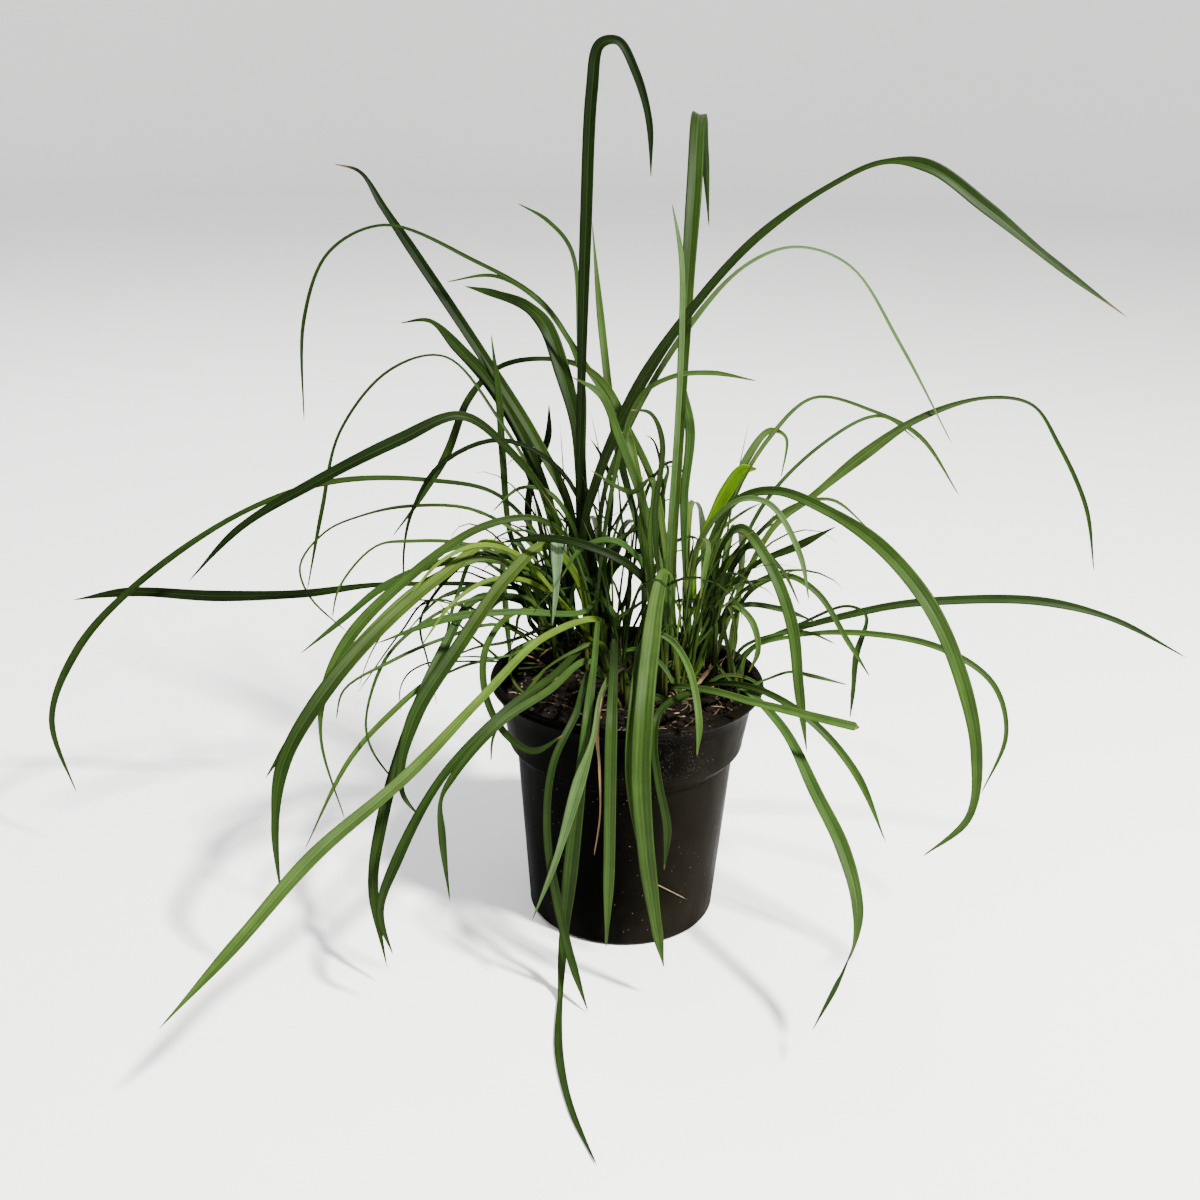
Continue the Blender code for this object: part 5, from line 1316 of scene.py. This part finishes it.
def on_wall(spot):
    """The place on the pot's wall, below its step, that is seen at a picture point."""
    back = -FOOT_RADIUS / MM
    for _ in range(WALL_TRIES):
        place = sight_point(spot.x, spot.y, back)
        share = place.z / STEP_HEIGHT
        radius = FOOT_RADIUS + (WALL_TOP_RADIUS - FOOT_RADIUS) * share + STRAW_LIFT
        back = -math.sqrt(radius ** 2 - place.x ** 2) / MM
    return place


def arc(centre_radius, centre_height, size, start, end, count):
    """Profile points along an arc, by angles in degrees from the outward direction."""
    angles = [math.radians(start + (end - start) * number / (count - 1)) for number in range(count)]
    return [circled(size, angle, centre_radius, centre_height) for angle in angles]


def pot_profile():
    """The pot's section from under its foot up its outside, over the lip and down its inside."""
    lip_half = LIP_DEPTH / 2
    foot = FOOT_RADIUS - FOOT_ROUNDING
    profile = [(foot * share, 0) for share in FOOT_SHARES]
    profile += arc(foot, FOOT_ROUNDING, FOOT_ROUNDING, -90, 8, 9)
    wall_foot = profile[-1]
    wall_top = (WALL_TOP_RADIUS, STEP_HEIGHT - WALL_CURVE)
    profile += [mixed(wall_foot, wall_top, share) for share in WALL_SHARES]
    profile += reversed(arc(WALL_TOP_RADIUS + WALL_CURVE, wall_top[1], WALL_CURVE, 115, 180, 6))
    profile += arc(COLLAR_FOOT_RADIUS - COLLAR_CURVE, COLLAR_FOOT_HEIGHT + STEP_ROUNDING, COLLAR_CURVE,
                   -62, 0, 7)
    collar_foot = (COLLAR_FOOT_RADIUS + 0.2 * MM, COLLAR_FOOT_HEIGHT + 4 * MM)
    collar_top = (COLLAR_TOP_RADIUS, POT_HEIGHT - LIP_DEPTH)
    profile += [mixed(collar_foot, collar_top, share) for share in COLLAR_SHARES]
    profile.append((COLLAR_TOP_RADIUS + 1.0 * MM, POT_HEIGHT - LIP_DEPTH - 0.1 * MM))
    profile += arc(LIP_RADIUS - lip_half, POT_HEIGHT - lip_half, lip_half, -90, 100, 14)
    (lip_inside, _), *inside = inner_profile(0)
    profile += [(lip_inside + 1 * MM, POT_HEIGHT), (lip_inside, POT_HEIGHT - 1 * MM), *inside]
    return profile + [(foot * share, WALL) for share in FOOT_SHARES[1::-1]]


def make_pot(surface):
    """The moulded pot, finely turned, with its rolled lip, rounded step and drain holes."""
    profile = pot_profile()
    points = turned(profile, POT_SIDES)
    faces = ring_faces(len(profile), POT_SIDES)
    close_ends(points, faces, len(profile), POT_SIDES, 0, WALL)
    mesh = bpy.data.meshes.new("pot_shell")
    mesh.from_pydata(points, [], faces)
    outward_faces(mesh)
    mesh.materials.append(surface)
    pot = place_piece("pot_shell", mesh)
    drill_drains(pot)
    smooth(pot.data)
    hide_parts("pot")


def outward_faces(mesh):
    work = bmesh.new()
    work.from_mesh(mesh)
    bmesh.ops.recalc_face_normals(work, faces=work.faces)
    work.to_mesh(mesh)
    work.free()


def drill_drains(pot):
    """Cuts the ring of drain holes through the pot's floor."""
    work = bmesh.new()
    for number in range(DRAIN_COUNT):
        centre = Vector((*circled(DRAIN_CIRCLE, 2 * math.pi * number / DRAIN_COUNT), WALL / 2))
        bmesh.ops.create_cone(work, cap_ends=True, segments=DRAIN_SIDES, radius1=DRAIN_RADIUS,
                              radius2=DRAIN_RADIUS, depth=3 * WALL, matrix=Matrix.Translation(centre))
    mesh = bpy.data.meshes.new("drill")
    work.to_mesh(mesh)
    work.free()
    drill = linked("drill", mesh)
    cut = pot.modifiers.new("drains", "BOOLEAN")
    cut.operation = "DIFFERENCE"
    cut.object = drill
    bpy.context.view_layer.update()
    graph = bpy.context.evaluated_depsgraph_get()
    result = bpy.data.meshes.new_from_object(pot.evaluated_get(graph))
    pot.modifiers.clear()
    pot.data = result
    bpy.data.objects.remove(drill, do_unlink=True)


class Nodes:
    """A short way to write a material's nodes."""

    def __init__(self, name):
        self.made = bpy.data.materials.new(name)
        self.made.use_nodes = True
        self.tree = self.made.node_tree
        self.shader = self.tree.nodes["Principled BSDF"]

    def feed(self, node, key, value):
        if hasattr(value, "is_output"):
            self.tree.links.new(value, node.inputs[key])
        elif value is not None:
            node.inputs[key].default_value = value

    def new(self, kind, *values, **named):
        """A node with its inputs fed, in turn or by name."""
        node = self.tree.nodes.new("ShaderNode" + kind)
        for key, value in [*enumerate(values), *named.items()]:
            self.feed(node, key, value)
        return node

    def math(self, kind, *values):
        node = self.new("Math", *values)
        node.operation = kind
        return node.outputs[0]

    def times(self, first, second):
        return self.math("MULTIPLY", first, second)

    def plus(self, first, second):
        return self.math("ADD", first, second)

    def wave(self, value):
        """The sine of a value, brought between nought and one."""
        return self.math("MULTIPLY_ADD", self.math("SINE", value), 0.5, 0.5)

    def ramp(self, value, low, high, start=0.0, end=1.0):
        node = self.new("MapRange", value, low, high, start, end)
        node.interpolation_type = "SMOOTHSTEP"
        return node.outputs[0]

    def object_place(self, stretch=(1, 1, 1)):
        node = self.new("VectorMath", self.new("TexCoord").outputs["Object"], stretch)
        node.operation = "MULTIPLY"
        return node.outputs[0]

    def noise(self, place, scale, detail=3.0, roughness=0.5):
        node = self.new("TexNoise", Vector=place, Scale=scale, Detail=detail, Roughness=roughness)
        return node.outputs["Fac"]

    def clouds(self, scale, low, high, start=0.0, end=1.0):
        """Soft patches all over the piece."""
        return self.ramp(self.noise(self.object_place(), scale), low, high, start, end)

    def specks(self, scale, low, high, stretch=(1, 1, 1)):
        """Round spots, one at most in each cell."""
        node = self.new("TexVoronoi", Vector=self.object_place(stretch), Scale=scale)
        return self.ramp(node.outputs["Distance"], low, high, 1.0, 0.0)

    def shaded_tint(self, shade):
        """The piece's own colour, made lighter and darker."""
        tint = self.new("VertexColor")
        tint.layer_name = "tint"
        node = self.new("VectorMath", tint.outputs["Color"])
        node.operation = "SCALE"
        self.feed(node, 3, shade)
        return node.outputs[0]

    def mix(self, share, first, second):
        node = self.new("Mix")
        node.data_type = "RGBA"
        self.feed(node, 0, share)
        for key, value in ((6, first), (7, second)):
            self.feed(node, key, (*value, 1.0) if isinstance(value, tuple) else value)
        return node.outputs[2]

    def bump(self, height, strength, distance):
        node = self.new("Bump", Strength=strength, Distance=distance, Height=height)
        self.feed(self.shader, "Normal", node.outputs[0])

    def surface(self, colour, roughness, specular=0.5):
        self.feed(self.shader, "Base Color", colour)
        self.feed(self.shader, "Roughness", roughness)
        self.feed(self.shader, "Specular IOR Level", specular)
        return self.made


def leaf_material():
    """Green blade: pale midrib, fine veins along it, streaks, blotches, painted shade in its folds and on one
    half, a duller underside.
    """
    n = Nodes("grass_blade")
    spot = n.new("UVMap")
    spot.uv_map = "blade"
    parts = n.new("SeparateXYZ", spot.outputs[0])
    round_way, length_way = parts.outputs[0], parts.outputs[1]
    across = n.math("SUBTRACT", 1.0, n.math("ABSOLUTE", n.math("SUBTRACT", round_way, 1.0)))
    under = n.math("GREATER_THAN", round_way, 1.02)
    rib = n.ramp(n.math("ABSOLUTE", n.math("SUBTRACT", across, 0.5)), 0.012, 0.045, 1.0, 0.0)
    veins = n.wave(n.times(across, 82.0))
    stretched = n.new("CombineXYZ", n.times(across, 0.5), n.times(length_way, 0.7))
    streaks = n.noise(stretched.outputs[0], 34.0, 4.0, 0.6)
    shade = n.times(n.ramp(streaks, 0.3, 0.7, 0.84, 1.14), n.clouds(46.0, 0.3, 0.7, 0.86, 1.12))
    shade = n.times(shade, n.math("MULTIPLY_ADD", veins, 0.16, 0.90))
    # Painted shade of the lengthwise folds: darker stripes in their creases, lighter ones on their ridges.
    painted_fold_shade = n.times(n.wave(n.math("MULTIPLY_ADD", across, 27.0, 0.6)), n.ramp(streaks, 0.25, 0.75, 0.55, 1.0))
    shade = n.times(shade, n.math("MULTIPLY_ADD", painted_fold_shade, 0.42, 0.78))
    # Painted light and shade: one half of the blade, past the midrib, is a little lighter than the other, as
    # the light falls on one side of its V fold.
    shade = n.times(shade, n.ramp(across, 0.47, 0.55, 0.90, 1.08))
    colour = n.shaded_tint(shade)
    colour = n.mix(n.times(rib, 0.5), colour, n.mix(0.30, colour, RIB_TONE))
    colour = n.mix(under, colour, n.mix(0.22, colour, UNDERSIDE_TONE))
    roughness = n.plus(n.ramp(streaks, 0.2, 0.8, 0.42, 0.56), n.times(under, 0.10))
    n.bump(n.plus(veins, n.times(rib, 1.5)), 0.22, 0.15 * MM)
    return n.surface(colour, roughness, 0.05)


def husk_material():
    """Dry papery fibre, streaked along its length."""
    n = Nodes("dry_fibre")
    streaks = n.noise(n.object_place(), 420.0, 4.0, 0.6)
    n.bump(streaks, 0.4, 0.2 * MM)
    colour = n.shaded_tint(n.ramp(streaks, 0.25, 0.75, 0.65, 1.3))
    return n.surface(colour, n.ramp(streaks, 0.2, 0.8, 0.65, 0.85), 0.25)


def soil_material():
    """Dark moist peat, grainy, with paler dry grains."""
    n = Nodes("peat_mix")
    grains = n.noise(n.object_place(), 900.0, 5.0, 0.7)
    lumps = n.noise(n.object_place(), 260.0)
    colour = n.shaded_tint(n.ramp(grains, 0.3, 0.7, 0.45, 1.7))
    colour = n.mix(n.times(n.specks(520.0, 0.10, 0.16), 0.35), colour, DRY_GRAIN_TONE)
    n.bump(n.plus(grains, lumps), 0.9, 0.9 * MM)
    return n.surface(colour, n.ramp(lumps, 0.3, 0.7, 0.72, 0.95), 0.06)


def chip_material():
    """Bark and wood chips with a lengthwise grain."""
    n = Nodes("bark_chip")
    grain = n.noise(n.object_place((1.0, 1.0, 3.0)), 700.0, 4.0, 0.65)
    n.bump(grain, 0.6, 0.3 * MM)
    colour = n.shaded_tint(n.ramp(grain, 0.25, 0.75, 0.5, 1.45))
    return n.surface(colour, n.ramp(grain, 0.2, 0.8, 0.7, 0.9), 0.3)


def pot_material():
    """Black moulded plastic with a slight gloss, draw streaks, dust, dried splashes and a painted warm sheen
    of light on its right side.
    """
    n = Nodes("black_plastic")
    streaks = n.noise(n.object_place((1.0, 1.0, 0.06)), 130.0, 4.0, 0.6)
    clouds = n.noise(n.object_place(), 14.0, 5.0, 0.6)
    fine = n.noise(n.object_place(), 1400.0, 2.0)
    place = n.new("SeparateXYZ", n.object_place())
    across, height = place.outputs[0], place.outputs[2]
    low = n.ramp(height, 0.0, 0.05, 1.0, 0.0)
    collar = n.ramp(height, 0.150, 0.160)
    # A painted warm sheen of light that grows to the right and is thinner on the collar.
    painted_sheen = n.times(n.ramp(across, -0.02, 0.08), n.math("MULTIPLY_ADD", collar, -0.5, 1.0))
    painted_sheen = n.times(painted_sheen, n.ramp(clouds, 0.3, 0.7, 0.8, 1.1))
    colour = n.mix(painted_sheen, POT_TONE, PAINTED_SHEEN_TONE)
    # Dust in clouds, most on the collar and round the foot; it grows towards the right, where it is also a
    # painted sheen of the light that falls from that side.
    dust_and_sheen = n.times(n.ramp(clouds, 0.42, 0.72), n.math("MULTIPLY_ADD", collar, 0.16, 0.04))
    dust_and_sheen = n.times(dust_and_sheen, n.ramp(across, -0.05, 0.09, 0.25, 1.6))
    dust_and_sheen = n.plus(dust_and_sheen, n.times(low, n.ramp(clouds, 0.35, 0.65, 0.01, 0.20)))
    colour = n.mix(dust_and_sheen, colour, DUST_AND_SHEEN_TONE)
    # Fine pale spray on the front right of the collar, and a little of it elsewhere.
    patch = n.times(n.ramp(across, 0.0, 0.02), n.ramp(across, 0.05, 0.07, 1.0, 0.0))
    patch = n.times(n.times(patch, collar), n.clouds(70.0, 0.35, 0.60))
    few = n.times(n.clouds(16.0, 0.50, 0.62), 0.10)
    spray = n.times(n.specks(620.0, 0.13, 0.26), n.math("MAXIMUM", patch, few))
    colour = n.mix(spray, colour, SPRAY_TONE)
    # Dried splashes, and crumbs of soil that stick to the wall.
    splashes = n.times(n.specks(190.0, 0.05, 0.11), n.clouds(30.0, 0.48, 0.62))
    crumbs = n.times(n.specks(75.0, 0.035, 0.06, (1.0, 1.0, 0.8)), n.clouds(22.0, 0.55, 0.65))
    colour = n.mix(n.times(splashes, 0.5), colour, SPLASH_TONE)
    colour = n.mix(n.times(crumbs, 0.6), colour, STUCK_CRUMB_TONE)
    roughness = n.plus(n.ramp(streaks, 0.3, 0.7, 0.30, 0.42), n.times(dust_and_sheen, 0.9))
    relief = n.plus(n.times(fine, 0.25), n.times(streaks, 0.6))
    n.bump(n.plus(relief, n.times(splashes, 0.8)), 0.16, 0.25 * MM)
    return n.surface(colour, roughness, 0.005)


def floor_material():
    n = Nodes("pale_floor")
    cloud = n.ramp(n.noise(n.object_place(), 0.7, 2.0), 0.3, 0.7)
    return n.surface(n.mix(cloud, *FLOOR_TONES), 0.85, 0.2)


def make_stage():
    """A wide pale floor that turns up softly far from the object, all the way round."""
    profile = [(0.001, 0.0), (FLOOR_REACH, 0.0)]
    profile += reversed(arc(FLOOR_REACH, FLOOR_CURVE, FLOOR_CURVE, 0, -90, 13)[:-1])
    profile.append((FLOOR_REACH + FLOOR_CURVE, 3 * FLOOR_CURVE))
    faces = ring_faces(len(profile), FLOOR_SIDES)
    faces.append(tuple(range(FLOOR_SIDES)))
    mesh = bpy.data.meshes.new("floor")
    mesh.from_pydata(turned(profile, FLOOR_SIDES), [], faces)
    mesh.materials.append(floor_material())
    smooth(mesh)
    floor = linked("floor", mesh)


def area_light(name, place, target, size, power, colour):
    lamp = bpy.data.lights.new(name, "AREA")
    lamp.shape = "DISK"
    lamp.size = size
    lamp.energy = power
    lamp.color = colour
    made = linked(name, lamp)
    made.location = place
    made.rotation_euler = (Vector(target) - Vector(place)).to_track_quat("-Z", "Y").to_euler()


def make_lights():
    world = bpy.data.worlds.new("studio")
    bpy.context.scene.world = world
    world.use_nodes = True
    background = world.node_tree.nodes["Background"]
    background.inputs["Color"].default_value = SKY_TONE
    background.inputs["Strength"].default_value = WORLD_STRENGTH
    for lamp in LAMPS:
        area_light(*lamp)


def make_camera():
    """A camera where the reference picture was taken from."""
    right, upward, forward = view_axes()
    lens = bpy.data.cameras.new("viewer")
    lens.sensor_fit = "HORIZONTAL"
    lens.sensor_width = SENSOR_WIDTH
    lens.lens = SENSOR_WIDTH * FOCAL_PIXELS / PICTURE_WIDTH
    lens.clip_start = NEAREST_SEEN
    lens.clip_end = FARTHEST_SEEN
    camera = linked("viewer", lens)
    turn = Matrix((right, upward, -forward)).transposed().to_4x4()
    camera.matrix_world = Matrix.Translation(VIEWER) @ turn
    bpy.context.scene.camera = camera


def main():
    make_camera()
    make_stage()
    make_lights()
    leaf = leaf_material()
    husk = husk_material()
    soil = soil_material()
    make_pot(pot_material())
    make_soil(soil)
    litter = random.Random(LITTER_SEED)
    make_crumbs(soil, litter)
    make_chips(chip_material(), litter)
    make_fibres(husk, litter)
    make_leaves(leaf)
    make_shoots(leaf)
    make_undergrowth(leaf)
    make_husks(husk)


main()
